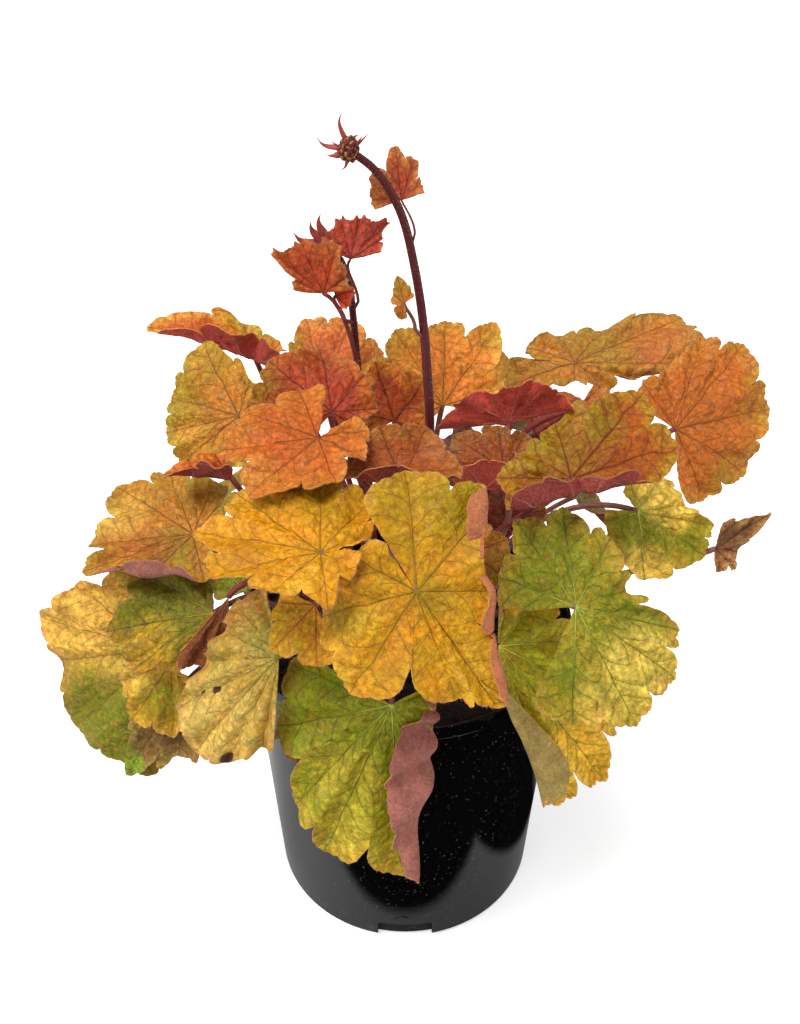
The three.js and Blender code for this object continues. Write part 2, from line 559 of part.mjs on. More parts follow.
addNode("pot", potSolid(), "pot");
addNode("soil", soilSolid(), "soil");
addNode("crown", solidOf(crownGeometry(0)), "crown");
for (const leaf of leaves) addNode("leaf_" + leaf.name, leafSolid(leaf), leaf.tone);
for (const stem of FLOWER_STEMS) addNode("flower_stem_" + stem.name, stemSolid(stem), "stem");
for (const bract of bracts) addNode("bract_" + bract.name, leafSolid(bract), bract.tone);

export default plant;
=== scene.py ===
"""A potted heuchera: lobed leaves, two young flower stems, potting soil and a black nursery pot."""
import math
from collections import namedtuple

import bmesh
import bpy
import numpy as np
from bpy.props import FloatProperty, FloatVectorProperty, IntProperty, PointerProperty
from mathutils import Matrix, Vector, noise


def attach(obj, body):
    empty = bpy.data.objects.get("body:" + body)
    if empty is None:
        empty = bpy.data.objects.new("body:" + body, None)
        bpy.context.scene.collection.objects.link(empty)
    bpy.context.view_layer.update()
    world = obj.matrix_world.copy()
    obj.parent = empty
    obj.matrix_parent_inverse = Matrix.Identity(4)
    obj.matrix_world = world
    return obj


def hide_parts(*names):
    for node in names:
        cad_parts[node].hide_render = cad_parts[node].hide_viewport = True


bl_info = {
    "name": "Potted heuchera",
    "version": (1, 0, 0),
    "blender": (4, 5, 0),
    "location": "View3D > Sidebar > Heuchera",
    "description": "Builds a heuchera with its nursery pot around its frame",
    "category": "Object",
}

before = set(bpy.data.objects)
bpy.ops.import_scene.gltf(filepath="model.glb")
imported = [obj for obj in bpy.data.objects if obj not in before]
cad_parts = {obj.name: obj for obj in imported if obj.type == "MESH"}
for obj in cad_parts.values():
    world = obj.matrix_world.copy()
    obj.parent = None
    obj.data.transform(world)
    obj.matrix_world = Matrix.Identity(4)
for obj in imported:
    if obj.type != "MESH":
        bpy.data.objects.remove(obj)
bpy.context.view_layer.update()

MM = 0.001

# ---------------------------------------------------------------- the plant, in millimetres and degrees

# What a leaf's row says. Shares are of the leaf's length, which runs from the hub to the tip.
# hub: where the stalk meets the blade. aim: heading of the midrib round Z, its pitch above the horizon, and
# the blade's roll about it. lobes: direction from the midrib, reach as a share, and depth of the sinus that
# follows, where it isn't the leaf's own cut. heel: degrees from the last lobe to the edge beside the stalk.
# bends: direction, start and stretch as shares, and turn. tooth, scallop, ruffle: their depth as shares, and
# a tooth below 0 is a pointed one. under: colour of the underside. tint: brightness of the upper face in red,
# green and blue. paint: kind, direction, reach and radius as shares, and strength. root: ring and bearing of
# the stalk's foot, or branch: its foot on a flower stem. slope, reach: how steeply and from how far the stalk
# comes in under the blade. stout: the stalk's thickness beside the usual one.
# The tint is partly the leaf's own colour and partly painted light: the strongest tints, as on middle_amber
# and back_left_red, lift leaves that lie in shade inside the plant.
ROUND = [(-128, 0.66), (-64, 0.88), (0, 1), (64, 0.88), (128, 0.66)]  # the even lobes of a leaf at the back

LEAVES = [
    dict(name="middle_copper", tone="copper", hub=(-30, -30, 292), aim=(124, 38, -26), length=31,
         lobes=[(-150, 0.42), (-112, 0.6), (-66, 0.66), (-15, 0.92), (24, 1.12), (56, 1.12), (90, 0.6)],
         cut=0.1, tint=(1.3, 0.9, 0.6), root=(1, -144),
         paint=[("green", 41, 1.0, 0.4, 0.5), ("rust", 4, 0.19, 0.5, 0.45)]),
    dict(name="front_left_salmon", tone="salmon", hub=(-33, -68, 302), aim=(180, -1, -10), length=34,
         lobes=[(-74, 1), (-28, 0.98), (10, 1.02), (50, 1.06), (108, 0.75, 0.3), (146, 0.62), (198, 0.58)],
         heel=20, tint=(1.3, 1.2, 0.9), root=(1, -118),
         paint=[("rust", 4, 0.3, 0.55, 0.25), ("pale", 41, 0.77, 0.3, 0.15)]),
    dict(name="middle_salmon", tone="salmon", hub=(-2, -74, 290), aim=(-90, 0, 0), length=23,
         lobes=[(-158, 1, 0.05), (-103, 1), (-38, 0.95), (30, 0.95), (95, 1), (156, 1, 0.05)], cut=0.1,
         heel=23, bends=[(0, 0.1, 0.5, 65), (180, 0.1, 0.5, 60)], tint=(0.9, 0.8, 0.8), root=(1, -92)),
    dict(name="back_left_peach", tone="salmon", hub=(-37, 20, 280), aim=(97, 48, -7), length=31,
         lobes=[(-110, 0.8), (-70, 0.97), (-30, 1.03), (12, 1), (52, 0.62)], cut=0.12, tint=(1.5, 1.5, 1.8),
         root=(1, 138),
         paint=[("rust", -25, 0.49, 0.6, 0.3), ("green", 41, 0.78, 0.35, 0.5),
                ("green", -64, 1.04, 0.2, 0.3)]),
    dict(name="middle_amber", tone="amber", hub=(16, 5, 276), aim=(66, 66, 22), length=38,
         lobes=[(-65, 0.75), (-24, 1.12), (8, 0.96), (42, 1.02), (76, 1.02), (125, 0.5)],
         tint=(2.3, 2.1, 2.4), root=(1, 35),
         paint=[("green", 46, 0.92, 0.35, 0.2), ("green", -26, 0.91, 0.2, 0.3),
                ("rust", -1, 0.47, 0.4, 0.2)]),
    dict(name="middle_red", tone="crimson", hub=(-5, -12, 278), aim=(97, 65, -6), length=26,
         lobes=[(-125, 0.6), (-40, 0.85), (15, 1), (75, 0.6)], heel=40, tint=(1.6, 2.6, 0.8), root=(1, 100)),
    dict(name="right_crimson", tone="crimson", hub=(41, -38, 292), aim=(-80, 70, -24), length=27,
         lobes=[(-112, 1.12, 0.15), (-70, 0.8), (-28, 0.58, 0.05), (3, 0.86, 0.05), (22, 1.12), (51, 1.06)],
         cut=0.12, heel=8, under="under_crimson", tint=(2.1, 1.8, 1.1), root=(1, -18)),
    dict(name="right_copper", tone="copper", hub=(61, -74, 288), aim=(19, 5, 24), length=47,
         lobes=[(-158, 0.64, 0.05), (-110, 0.34), (-60, 0.36), (4, 1), (33, 1.12), (78, 0.58), (125, 0.48),
                (163, 0.6)], bends=[(-95, 0.13, 0.1, 140)], tint=(1.2, 1.5, 0.4), root=(1, -40),
         paint=[("green", 101, 0.37, 0.6, 0.35), ("green", 43, 0.61, 0.3, 0.4),
                ("pale", 22, 1.08, 0.2, 0.15)]),
    dict(name="front_crimson", tone="crimson", hub=(30, -62, 276), aim=(-90, 65, 0), length=20,
         lobes=[(-80, 0.55), (-25, 1), (30, 1), (85, 0.75)], under="under_crimson", tint=(2.1, 2.2, 1.6),
         root=(2, -66)),
    dict(name="right_shade", tone="amber", hub=(38, -54, 280), aim=(129, 43, -29), length=19,
         lobes=[(-99, 0.93), (-60, 0.9), (-20, 0.92), (29, 1.25), (60, 1.3)], tint=(0.8, 0.5, 0.7),
         root=(2, -38)),
    dict(name="middle_shade", tone="brown", hub=(-15, -84, 270), aim=(126, 54, -31), length=17,
         lobes=[(-62, 0.8), (0, 1), (62, 0.8)], tint=(2.2, 2.2, 0.5), root=(2, -95)),
    dict(name="right_red", tone="crimson", hub=(56, -5, 267), aim=(18, 15, 38), length=27,
         lobes=[(-55, 0.8), (10, 1), (75, 0.8)], tint=(1.0, 1.2, 0.9), root=(1, 8)),
    dict(name="young_red", tone="copper", hub=(-33, -9, 334), aim=(170, 30, -81), length=25,
         lobes=[(-112, 0.46), (-76, 0.8), (-35, 0.85), (-8, 1.02), (4, 0.5)], cut=0.12, slope=30, reach=0.12,
         tooth=-0.1, stout=0.7, tint=(1.4, 1.2, 1.4), root=(1, -170),
         paint=[("rust", -32, 0.45, 0.7, 0.45)]),
    dict(name="front_gold", tone="gold", hub=(3, -122, 273), aim=(-44, -49, 31), length=50,
         lobes=[(-146, 0.5, 0.1), (-104, 0.75, 0.1), (-61, 0.84, 0.36), (-8, 0.82, 0.02), (6, 1), (62, 0.58),
                (110, 0.9, 0.12), (156, 0.84)], heel=27, bends=[(66, 0.49, 0.06, 160),
                (-130, 0.22, 0.5, -38)], under="under_orange", tint=(1.1, 1.1, 0.4), root=(2, -80),
         paint=[("green", 128, 0.68, 0.4, 0.4), ("green", 161, 0.67, 0.3, 0.35), ("dry", 37, 0.23, 0.02, 1),
                ("green", 28, 0.11, 0.22, 0.35), ("green", -97, 0.53, 0.2, 0.35),
                ("rust", -78, 0.15, 0.2, 0.15), ("pale", 7, 0.71, 0.3, 0.35),
                ("pale", -76, 0.75, 0.25, 0.15)]),
    dict(name="front_left_gold", tone="gold", hub=(-30, -115, 284), aim=(167, 1, -12), length=46,
         lobes=[(-138, 0.42), (-108, 0.72), (-74, 0.84), (-30, 0.98), (-4, 1.05), (26, 0.84), (62, 0.52),
                (112, 0.46), (158, 0.34)], tint=(1.3, 1.2, 0.5), root=(2, -112),
         paint=[("green", -82, 0.56, 0.4, 0.35), ("pale", 80, 0.33, 0.25, 0.2), ("dry", 15, 0.88, 0.02, 1)]),
    dict(name="left_amber", tone="amber", hub=(-89, -45, 242), aim=(-177, -12, -21), length=49,
         lobes=[(-112, 0.57), (-74, 0.76), (-46, 1.06), (-8, 0.96), (8, 1), (40, 0.75), (100, 0.45)],
         bends=[(80, 0.37, 0.08, 120)], tint=(1.2, 1.2, 0.9), root=(2, -158),
         paint=[("pale", -31, 0.77, 0.35, 0.35), ("green", -106, 0.41, 0.3, 0.15),
                ("green", 31, 0.29, 0.35, 0.55), ("rust", 13, 0.39, 0.3, 0.5)]),
    dict(name="left_olive", tone="olive", hub=(-71, -10, 279), aim=(165, -8, -60), length=36,
         lobes=[(-108, 0.45), (-60, 1.04), (-14, 0.92), (12, 1), (36, 1.02), (78, 0.62)], cut=0.1,
         tint=(1.4, 1.4, 1.1), root=(2, 175),
         paint=[("green", -13, 0.86, 0.5, 0.35), ("rust", -48, 0.17, 0.5, 0.3),
                ("green", -65, 0.73, 0.3, 0.3)]),
    dict(name="back_left_red", tone="copper", hub=(-69, 37, 283), aim=(178, 22, 0), length=50,
         lobes=[(-120, 0.36), (-60, 0.42), (0, 1), (60, 0.5), (110, 0.45)], bends=[(90, 0, 0.3, 75),
                (-90, 0, 0.3, 40)], under="under_crimson", tint=(2.4, 2.8, 2.8), root=(2, 155),
         paint=[("green", -67, 0.4, 0.4, 0.4)]),
    dict(name="left_red", tone="crimson", hub=(-73, -32, 262), aim=(-169, 14, 0), length=28,
         lobes=[(-60, 0.5), (0, 1), (60, 0.55)], bends=[(90, 0, 0.3, 70), (-90, 0, 0.3, 30)],
         tint=(1.9, 3.0, 1.0), root=(2, -171)),
    dict(name="back_right_amber", tone="amber", hub=(78, 40, 279), aim=(4, 0, 22), length=63,
         lobes=[(-163, 0.56), (-100, 0.18), (-42, 0.32), (-18, 0.46, 0), (-3, 1.02, 0.05), (26, 1, 0.12),
                (50, 0.5), (105, 0.31), (150, 0.38)], tint=(1.3, 1.2, 1.5), root=(2, 28),
         paint=[("green", 38, 0.28, 0.4, 0.4), ("green", -163, 0.36, 0.25, 0.3),
                ("rust", 14, 0.61, 0.25, 0.3)]),
    dict(name="right_peach", tone="salmon", hub=(118, 0, 267), aim=(35, 18, 53), length=53,
         lobes=[(-98, 0.66), (-60, 0.8), (-22, 0.94), (12, 1.04), (34, 0.86), (62, 0.5), (95, 0.5)], cut=0.12,
         tint=(1.2, 1.3, 0.9), root=(2, 2),
         paint=[("green", -16, 0.85, 0.3, 0.2), ("green", -71, 0.7, 0.3, 0.35),
                ("rust", 13, 0.22, 0.5, 0.25)]),
    dict(name="right_green", tone="green", hub=(64, -95, 244), aim=(-7, -28, 49), length=47,
         lobes=[(-66, 0.95), (-36, 1.1), (-8, 1.08), (14, 0.98, 0.25), (42, 0.48), (88, 0.64), (122, 0.81),
                (152, 0.86), (184, 0.7)], cut=0.14, tint=(1.4, 1.4, 1.2), root=(2, -52),
         paint=[("pale", -17, 0.76, 0.5, 0.45), ("green", 140, 0.54, 0.7, 0.25),
                ("pale", -49, 0.82, 0.3, 0.3), ("rust", -16, 1.03, 0.2, 0.25)]),
    dict(name="right_curled", tone="green", hub=(98, -35, 247), aim=(-5, -24, 57), length=38,
         lobes=[(-135, 0.38), (-60, 0.78), (-8, 0.97), (12, 0.93), (30, 0.55), (80, 0.5), (130, 0.38)],
         cut=0.1, ruffle=0.06, tint=(1.9, 1.8, 1.4), root=(2, -22),
         paint=[("pale", 74, 0.3, 0.35, 0.6), ("pale", 25, 0.39, 0.35, 0.6), ("pale", -59, 0.64, 0.35, 0.65),
                ("green", -60, 0.21, 0.45, 0.6), ("green", -8, 0.86, 0.3, 0.5)]),
    dict(name="left_low_gold", tone="gold", hub=(-100, -69, 192), aim=(-176, -70, -75), length=41,
         lobes=[(-76, 0.5), (-40, 0.72), (-12, 0.98), (16, 1), (44, 0.5)], tint=(1.1, 1.2, 0.9),
         root=(3, 167),
         paint=[("green", 7, 0.51, 0.4, 0.6), ("pale", -43, 0.46, 0.3, 0.4)]),
    dict(name="left_turned", tone="copper", hub=(-70, -80, 237), aim=(-170, -58, 113), length=41,
         lobes=[(-24, 0.78), (-11, 0.86), (2, 0.97)], cut=0.05, heel=5, ruffle=0.02, slope=8, reach=0.22,
         under="under_rust", tint=(2.0, 2.4, 0.8), root=(3, -135)),
    dict(name="inner_shade", tone="crimson", hub=(43, -36, 235), aim=(105, 59, -13), length=27,
         lobes=[(-48, 0.8), (0, 1), (42, 0.9)], tint=(0.7, 1.2, 0.5), root=(3, -41)),
    dict(name="right_brown", tone="brown", hub=(133, -37, 229), aim=(35, 7, 50), length=34,
         lobes=[(-110, 0.3), (-72, 0.38), (-30, 0.42), (2, 1.03), (20, 0.5)], cut=0.3, tint=(1.8, 1.7, 1.6),
         root=(3, -18)),
    dict(name="right_inner_amber", tone="amber", hub=(24, -85, 262), aim=(-6, -15, 54), length=16,
         lobes=[(-75, 1), (-19, 1.07), (35, 0.95), (85, 0.8)], tint=(1.0, 0.8, 0.5), root=(3, -78),
         paint=[("green", -4, 0.49, 0.8, 0.4)]),
    dict(name="front_green", tone="green", hub=(-6, -98, 196), aim=(-82, -68, 10), length=79,
         lobes=[(-113, 0.56, 0.08), (-78, 0.62, 0.3), (-45, 0.74, 0.08), (-26, 0.92, 0.18), (0, 1, 0.02),
                (23, 0.73, 0.02), (46, 0.57, 0.02), (74, 0.36, 0.05), (106, 0.26)], heel=12,
         bends=[(77, 0.225, 0.06, 165)], tooth=0.02, scallop=0.012, tint=(1.6, 1.5, 0.9), root=(3, -95),
         paint=[("green", -77, 0.33, 0.5, 0.6), ("green", 119, 0.05, 0.3, 0.6),
                ("pale", -22, 0.74, 0.25, 0.2), ("pale", -35, 0.46, 0.25, 0.15),
                ("green", -53, 0.48, 0.35, 0.4), ("green", -24, 0.6, 0.3, 0.5)]),
    dict(name="front_right_green", tone="green", hub=(37, -85, 216), aim=(-25, -69, 43), length=86,
         lobes=[(-12, 0.85, 0.05), (2, 1.08), (16, 1.08), (36, 0.8), (65, 0.47), (114, 0.3), (160, 0.24)],
         heel=8, bends=[(-90, 0.03, 0.06, 160)], under="under_beige", tint=(2.7, 2.2, 1.1), root=(3, -62),
         paint=[("pale", 12, 0.77, 0.25, 0.3), ("green", 54, 0.2, 0.35, 0.7)]),
    dict(name="front_left_straw", tone="straw", hub=(-50, -95, 219), aim=(-167, -47, -57), length=57,
         lobes=[(-122, 0.5), (-98, 0.48), (-66, 0.44), (-38, 0.6), (-17, 0.9), (2, 1), (17, 0.9), (31, 0.7)],
         cut=0.03, heel=8, tooth=0.005, scallop=0.004, tint=(1.1, 1.1, 1.3), root=(3, -125),
         paint=[("pale", -1, 0.7, 0.4, 0.35), ("dry", -19, 0.64, 0.025, 1), ("dry", -16, 0.54, 0.04, 1),
                ("dry", 16, 0.87, 0.08, 0.8), ("green", -109, 0.13, 0.3, 0.3)]),
    dict(name="small_amber", tone="amber", hub=(-34, -101, 250), aim=(-133, -54, -33), length=27,
         lobes=[(-68, 0.55), (-20, 0.9), (25, 0.9)], tint=(2.2, 2.0, 0.8), root=(2, -126),
         paint=[("green", -8, 0.42, 0.6, 0.45)]),
    dict(name="left_green", tone="green", hub=(-80, -66, 217), aim=(178, -18, -36), length=52,
         lobes=[(-74, 0.4), (-40, 0.75), (-5, 1), (20, 0.84), (44, 0.56), (76, 0.26)], tint=(1.2, 0.9, 0.3),
         root=(3, -145),
         paint=[("green", -26, 0.5, 0.6, 1), ("green", -72, 0.52, 0.5, 1), ("pale", 10, 0.57, 0.3, 0.35)]),
    dict(name="left_small_green", tone="green", hub=(-66, -64, 227), aim=(148, 33, -47), length=20,
         lobes=[(-91, 0.6), (-50, 0.9), (0, 1), (40, 0.7)], tint=(1.2, 1.2, 0.9), root=(2, -142),
         paint=[("green", 41, 0.43, 0.9, 0.6)]),
    dict(name="left_shade", tone="olive", hub=(-80, -42, 222), aim=(175, -14, -54), length=51,
         lobes=[(-65, 0.33), (-28, 0.66), (-6, 1), (22, 0.72)], tint=(1.5, 1.3, 0.5), root=(3, 177),
         paint=[("green", -7, 0.63, 0.9, 0.6)]),
    dict(name="far_left_pale", tone="straw", hub=(-111, -42, 176), aim=(164, 4, -75), length=61,
         lobes=[(-62, 0.66), (-27, 0.8, 0.05), (0, 1.04, 0.05), (22, 0.93, 0.04), (52, 1.15, 0.04),
                (80, 1.1)], cut=0.12, heel=16, tooth=0.01, scallop=0.008, tint=(1.2, 1.0, 0.7),
         root=(3, -168),
         paint=[("pale", -5, 0.71, 0.5, 0.7), ("green", 64, 0.78, 0.7, 1), ("green", 76, 0.29, 0.5, 1),
                ("rust", 5, 0.99, 0.22, 0.5), ("pale", 26, 0.45, 0.25, 0.4)]),
    dict(name="low_left_brown", tone="brown", hub=(-96, -58, 173), aim=(-168, -56, -55), length=64,
         lobes=[(-22, 0.45), (0, 1.08), (22, 0.66)], tint=(1.6, 1.9, 1.2), root=(3, -156),
         paint=[("green", -1, 0.99, 0.25, 1)]),
    dict(name="low_left_olive", tone="brown", hub=(-37, -92, 184), aim=(-110, -78, -10), length=34,
         lobes=[(-40, 0.7), (0, 1), (40, 0.7)], tint=(1.2, 1.2, 0.7), root=(3, -109)),
    dict(name="back_amber", tone="amber", hub=(26, 58, 262), aim=(88, 5, 0), length=38,
         lobes=ROUND, root=(2, 62)),
    dict(name="back_gold", tone="gold", hub=(-15, 70, 252), aim=(100, -5, 8), length=44,
         lobes=ROUND, root=(2, 98)),
    dict(name="back_copper", tone="copper", hub=(-52, 66, 240), aim=(135, -12, 0), length=42,
         lobes=ROUND, root=(2, 125)),
    dict(name="back_right_green", tone="green", hub=(64, 74, 222), aim=(50, -25, 0), length=42,
         lobes=ROUND, tint=(1.2, 0.6, 0.6), root=(2, 46)),
    dict(name="low_back_green", tone="green", hub=(20, 96, 205), aim=(80, -42, 0), length=46,
         lobes=ROUND, root=(3, 78)),
    dict(name="low_back_straw", tone="straw", hub=(-42, 88, 198), aim=(115, -42, 0), length=46,
         lobes=ROUND, root=(3, 113)),
    dict(name="low_left_green", tone="green", hub=(-90, 42, 205), aim=(152, -32, 0), length=42,
         lobes=ROUND, tint=(1.8, 1.3, 1.2), root=(3, 150)),
    dict(name="low_right_green", tone="green", hub=(86, 42, 204), aim=(24, -42, 0), length=40,
         lobes=ROUND, tint=(1.0, 0.8, 0.6), root=(3, 22)),
    dict(name="right_small", tone="salmon", hub=(71, -20, 288), aim=(7, 2, 55), length=18,
         lobes=[(-46, 0.45), (-4, 1), (40, 0.8)], cut=0.1, heel=12, tint=(1.1, 1.0, 1.1), root=(2, -8)),
]
BRACTS = [
    dict(name="tall_upper", tone="copper", hub=(-2, 2, 368), aim=(99, 55, -7), length=21,
         lobes=[(-57, 0.46, 0.3), (-23, 0.84, 0.22), (2, 1, 0.5), (44, 0.74, 0.12), (82, 0.56)], cut=0.1,
         reach=0.12, tooth=-0.05, stout=0.6, tint=(1.5, 1.3, 1.9), branch=(3.2, -2, 356)),
    dict(name="tall_lower", tone="amber", hub=(-1, -16, 333), aim=(114, 52, -20), length=11,
         lobes=[(-50, 0.5), (0, 1), (36, 0.5, 0.5), (155, 0.6)], cut=0.2, tint=(1.3, 1.0, 0.5),
         branch=(3.4, -14, 321),
         paint=[("green", 3, 0.71, 0.6, 0.6), ("rust", 165, 0.32, 0.5, 0.5)]),
    dict(name="short_upper", tone="crimson", hub=(-22.2, -3, 346), aim=(32, 29, 43), length=20,
         lobes=[(-8, 0.68), (4, 1.08), (36, 0.88), (62, 0.84), (95, 0.66)], tooth=-0.12, stout=0.8,
         tint=(1.3, 1.1, 1.5), branch=(-19.6, -1, 327),
         paint=[("rust", 31, 0.49, 0.9, 0.6)]),
    dict(name="short_lower", tone="crimson", hub=(-28.5, -6, 331.5), aim=(20, 12, 49), length=8,
         lobes=[(-62, 0.8), (0, 1), (62, 0.8)], tooth=-0.1, tint=(2.6, 1.6, 2.0), branch=(-25, -8, 322)),
]
# root: ring and bearing of the stem's foot. radius: the stem's. bud: radius of the bud cluster. broad: half
# the width of a bud scale. line: points that the stem passes. spikes: tips of the scales from its end.
FLOWER_STEMS = [
    dict(name="tall", root=(1, -66), radius=1.9, bud=4.5, broad=1.25,
         line=[(9.7, -25, 283), (8.3, -18, 305), (7, -12, 320), (3.3, -6, 343), (-2.6, -2, 365),
                (-12, 0, 380), (-22, 0, 388)],
         spikes=[(-12, 0, 6), (0, 0, 15), (-9, -3, 0), (-4, -3, -7), (5, 1, 5)]),
    dict(name="short", root=(1, 164), radius=1.5, bud=3.2, broad=2.3,
         line=[(-20.5, 0, 297.5), (-22, 1, 321), (-23.2, 3, 333.5), (-26, 4, 342), (-30.3, 5, 348)],
         spikes=[(-15, 0, 8), (-7, 0, 12), (-2, 0, 15)]),
]

# The stalks' feet stand in the soil on three rings of these radii.
RINGS = {1: 15, 2: 24, 3: 34}
SOIL_TOP = 150
MOUND = 5  # the soil rises by this from its edge to its middle
FOOT_DEPTH = 12
STEM_STEPS = 90
STALK_STEPS = 26
STALK_RISE = 0.42
FEWEST_RINGS, MOST_RINGS = 8, 26  # from a blade's hub to its rim
BRACT_SEEDS = 100  # keeps the bracts' random numbers apart from the leaves'
FOLD = 100  # a bend of more degrees than this folds the blade over
TURN = 6.283  # a full turn in radians, near enough for what is strewn at random
GOLDEN_ANGLE = 2.39996

PAINTS = ("green", "rust", "dry", "pale")
Tone = namedtuple("Tone", "face deep vein edge under vein_strength net_strength")
TONES = {
    "copper": Tone("b55a28", "8c3814", "6a2408", "b07c34", "under_red", 0.8, 0.6),
    "salmon": Tone("c87034", "b05f22", "8c4418", "c4853a", "under_red", 0.65, 0.45),
    "crimson": Tone("a33f28", "7c1d10", "5a1008", "b85a34", "under_red", 0.7, 0.45),
    "amber": Tone("c98a3a", "a86c2a", "80501a", "ab8c34", "under_pink", 0.65, 0.45),
    "gold": Tone("dea224", "b68012", "8f6c16", "d29a36", "under_pink", 0.65, 0.32),
    "olive": Tone("cc9240", "a57022", "7c5216", "a9902e", "under_pink", 0.65, 0.45),
    "green": Tone("9c8c22", "6a7210", "465408", "ac8a32", "under_pink", 0.75, 0.4),
    "straw": Tone("d6b65e", "ba983e", "6a7a20", "c08e48", "under_beige", 0.65, 0.45),
    "brown": Tone("7c5636", "573824", "44301c", "94724a", "under_brown", 0.6, 0.5),
}
YOUNG_TONES = ("copper", "salmon", "crimson")


# ---------------------------------------------------------------- what a user would change


def from_hex(text):
    """A colour written as six hexadecimal digits, as linear values."""
    parts = [int(text[i : i + 2], 16) / 255 for i in (0, 2, 4)]
    return tuple(c / 12.92 if c <= 0.04045 else ((c + 0.055) / 1.055) ** 2.4 for c in parts)


def colour(name, description, text):
    return FloatVectorProperty(
        name=name, description=description, default=from_hex(text), subtype="COLOR", size=3, min=0, max=1
    )


def length(name, description, millimetres):
    return FloatProperty(name=name, description=description, default=millimetres * MM, min=0, unit="LENGTH")


def share(name, description, value):
    return FloatProperty(name=name, description=description, default=value, min=0, max=1, subtype="FACTOR")


def number(name, description, value, lowest, highest):
    return IntProperty(name=name, description=description, default=value, min=lowest, max=highest)


def light(name, description, value, **unit):
    return FloatProperty(name=name, description=description, default=value, min=0, **unit)


class HeucheraLeafShape(bpy.types.PropertyGroup):
    thickness: length("Blade thickness", "Thickness of a leaf's blade near its stalk", 0.62)
    edge: length("Edge thickness", "Thickness of the blade at its rim", 0.4)
    pleat: share("Pleat", "Height of the folds between veins, as a share of the leaf's length", 0.045)
    ruffle: share("Ruffle", "Height of the wave along the edge, as a share of the leaf's length", 0.05)
    cut: share("Sinus", "Depth of the cut between two lobes", 0.2)
    tooth: share("Tooth", "Depth of the notch between two teeth", 0.03)
    scallop: share("Scallop", "Depth of the small scallops on each tooth", 0.016)
    quilt: length("Quilting", "Height of the puckers between the veins", 1.2)
    crease: length("Crease", "Depth of the crease from the hub towards a sinus", 0.5)
    wave: length("Edge wave", "Height of the loose waves near the rim", 2.2)
    stalk: length("Stalk radius", "Radius of a leaf's stalk", 1.5)
    twig: length("Bract stalk radius", "Radius of the stalks on the flower stems", 0.8)
    hair: length("Hair length", "Length of the hairs on stalks and rims", 1.6)
    spokes: number("Spokes", "Points along the rim for half a lobe", 16, 4, 32)
    grain: length("Mesh spacing", "Distance between rings of points on a blade", 2.1)


class HeucheraColours(bpy.types.PropertyGroup):
    vein_star: colour("Vein star", "Pale main veins round the hub of a green leaf", "a8b458")
    patch_green: colour("Green patch", "Leaf green that comes through in patches", "6c7c0e")
    patch_rust: colour("Rust patch", "Red blush that comes through in patches", "a84426")
    patch_dry: colour("Dry patch", "Withered brown spots and tips", "4a2e1c")
    patch_pale: colour("Pale patch", "Bleached straw patches", "f0cc6a")
    rim: colour("Rim", "Pale line along the rim, upper face", "c88a5c")
    rim_under: colour("Rim, underside", "Pale line along the rim, underside", "d09868")
    # partly dust and partly painted glints of light on the upper face
    dust_and_glint: colour("Fleck", "Dusty flecks on the upper face", "e8dcc0")
    bloom: colour("Bloom", "Felted bloom and veins of the undersides", "f0cfa8")
    under_pink: colour("Pink underside", "Underside of the old leaves", "b87062")
    under_red: colour("Red underside", "Underside of the young leaves", "983a32")
    under_rust: colour("Rust underside", "Underside of the turned leaf", "89451d")
    under_orange: colour("Orange underside", "Underside that shows at the front leaf's folded edge", "d07a50")
    under_crimson: colour("Crimson underside", "Underside of the red leaves seen from below", "d04c3c")
    under_beige: colour("Beige underside", "Underside of the straw leaves and a fading green one", "c4a858")
    under_brown: colour("Brown underside", "Underside of the withered leaves", "765846")
    stalk: colour("Stalk", "Leaf stalks", "64402a")
    stalk_red: colour("Red stalk", "Stalks of the young leaves", "6a241c")
    stem: colour("Flower stem", "Burgundy flower stems", "50090a")
    scale: colour("Bud scale", "Pointed scales round the buds", "bc4a36")
    bud: colour("Flower bud", "Closed buds at the end of a stem", "b88a34")
    hair: colour("Hair", "Fine hairs on stalks, stems and rims", "e8d0b8")
    bark: colour("Crown bark", "Bark of the woody crown", "6b4630")
    bark_dark: colour("Crown bark, dark", "Cracks in the crown's bark", "33201a")
    pot: colour("Pot", "Black plastic of the pot", "060607")
    dust: colour("Dust", "Specks of dust on the pot", "8a8178")
    scuff: colour("Scuffs", "Scuffs near the pot's foot", "5a5650")
    soil: colour("Soil", "Peat of the potting soil", "1c1410")
    soil_light: colour("Soil, light", "Lighter fibres and bark in the soil", "4a3424")
    soil_dark: colour("Soil, dark", "Damp hollows of the soil", "140d09")
    floor: colour("Floor", "Studio floor", "fafafa")
    floor_shade: colour("Floor, shade", "Faint clouding of the studio floor", "f6f6f5")
    # painted reflection: the dark that the polished pot mirrors, seen on the floor by glossy rays alone
    cloth: colour("Cloth", "Dark cloths that the polished pot mirrors", "0c0c0c")


# Each tone of leaf has four colours here, such as copper, copper_deep, copper_vein and copper_edge.
TONE_PARTS = {"": "Upper face", "_deep": "Darker patches", "_vein": "Veins", "_edge": "Edge zone"}
for tone_name, tone_colours in TONES.items():
    for text, (part, words) in zip(tone_colours, TONE_PARTS.items()):
        label = tone_name.capitalize() + part.replace("_", ", ")
        words = f"{words} of the {tone_name} leaves"
        HeucheraColours.__annotations__[tone_name + part] = colour(label, words, text)


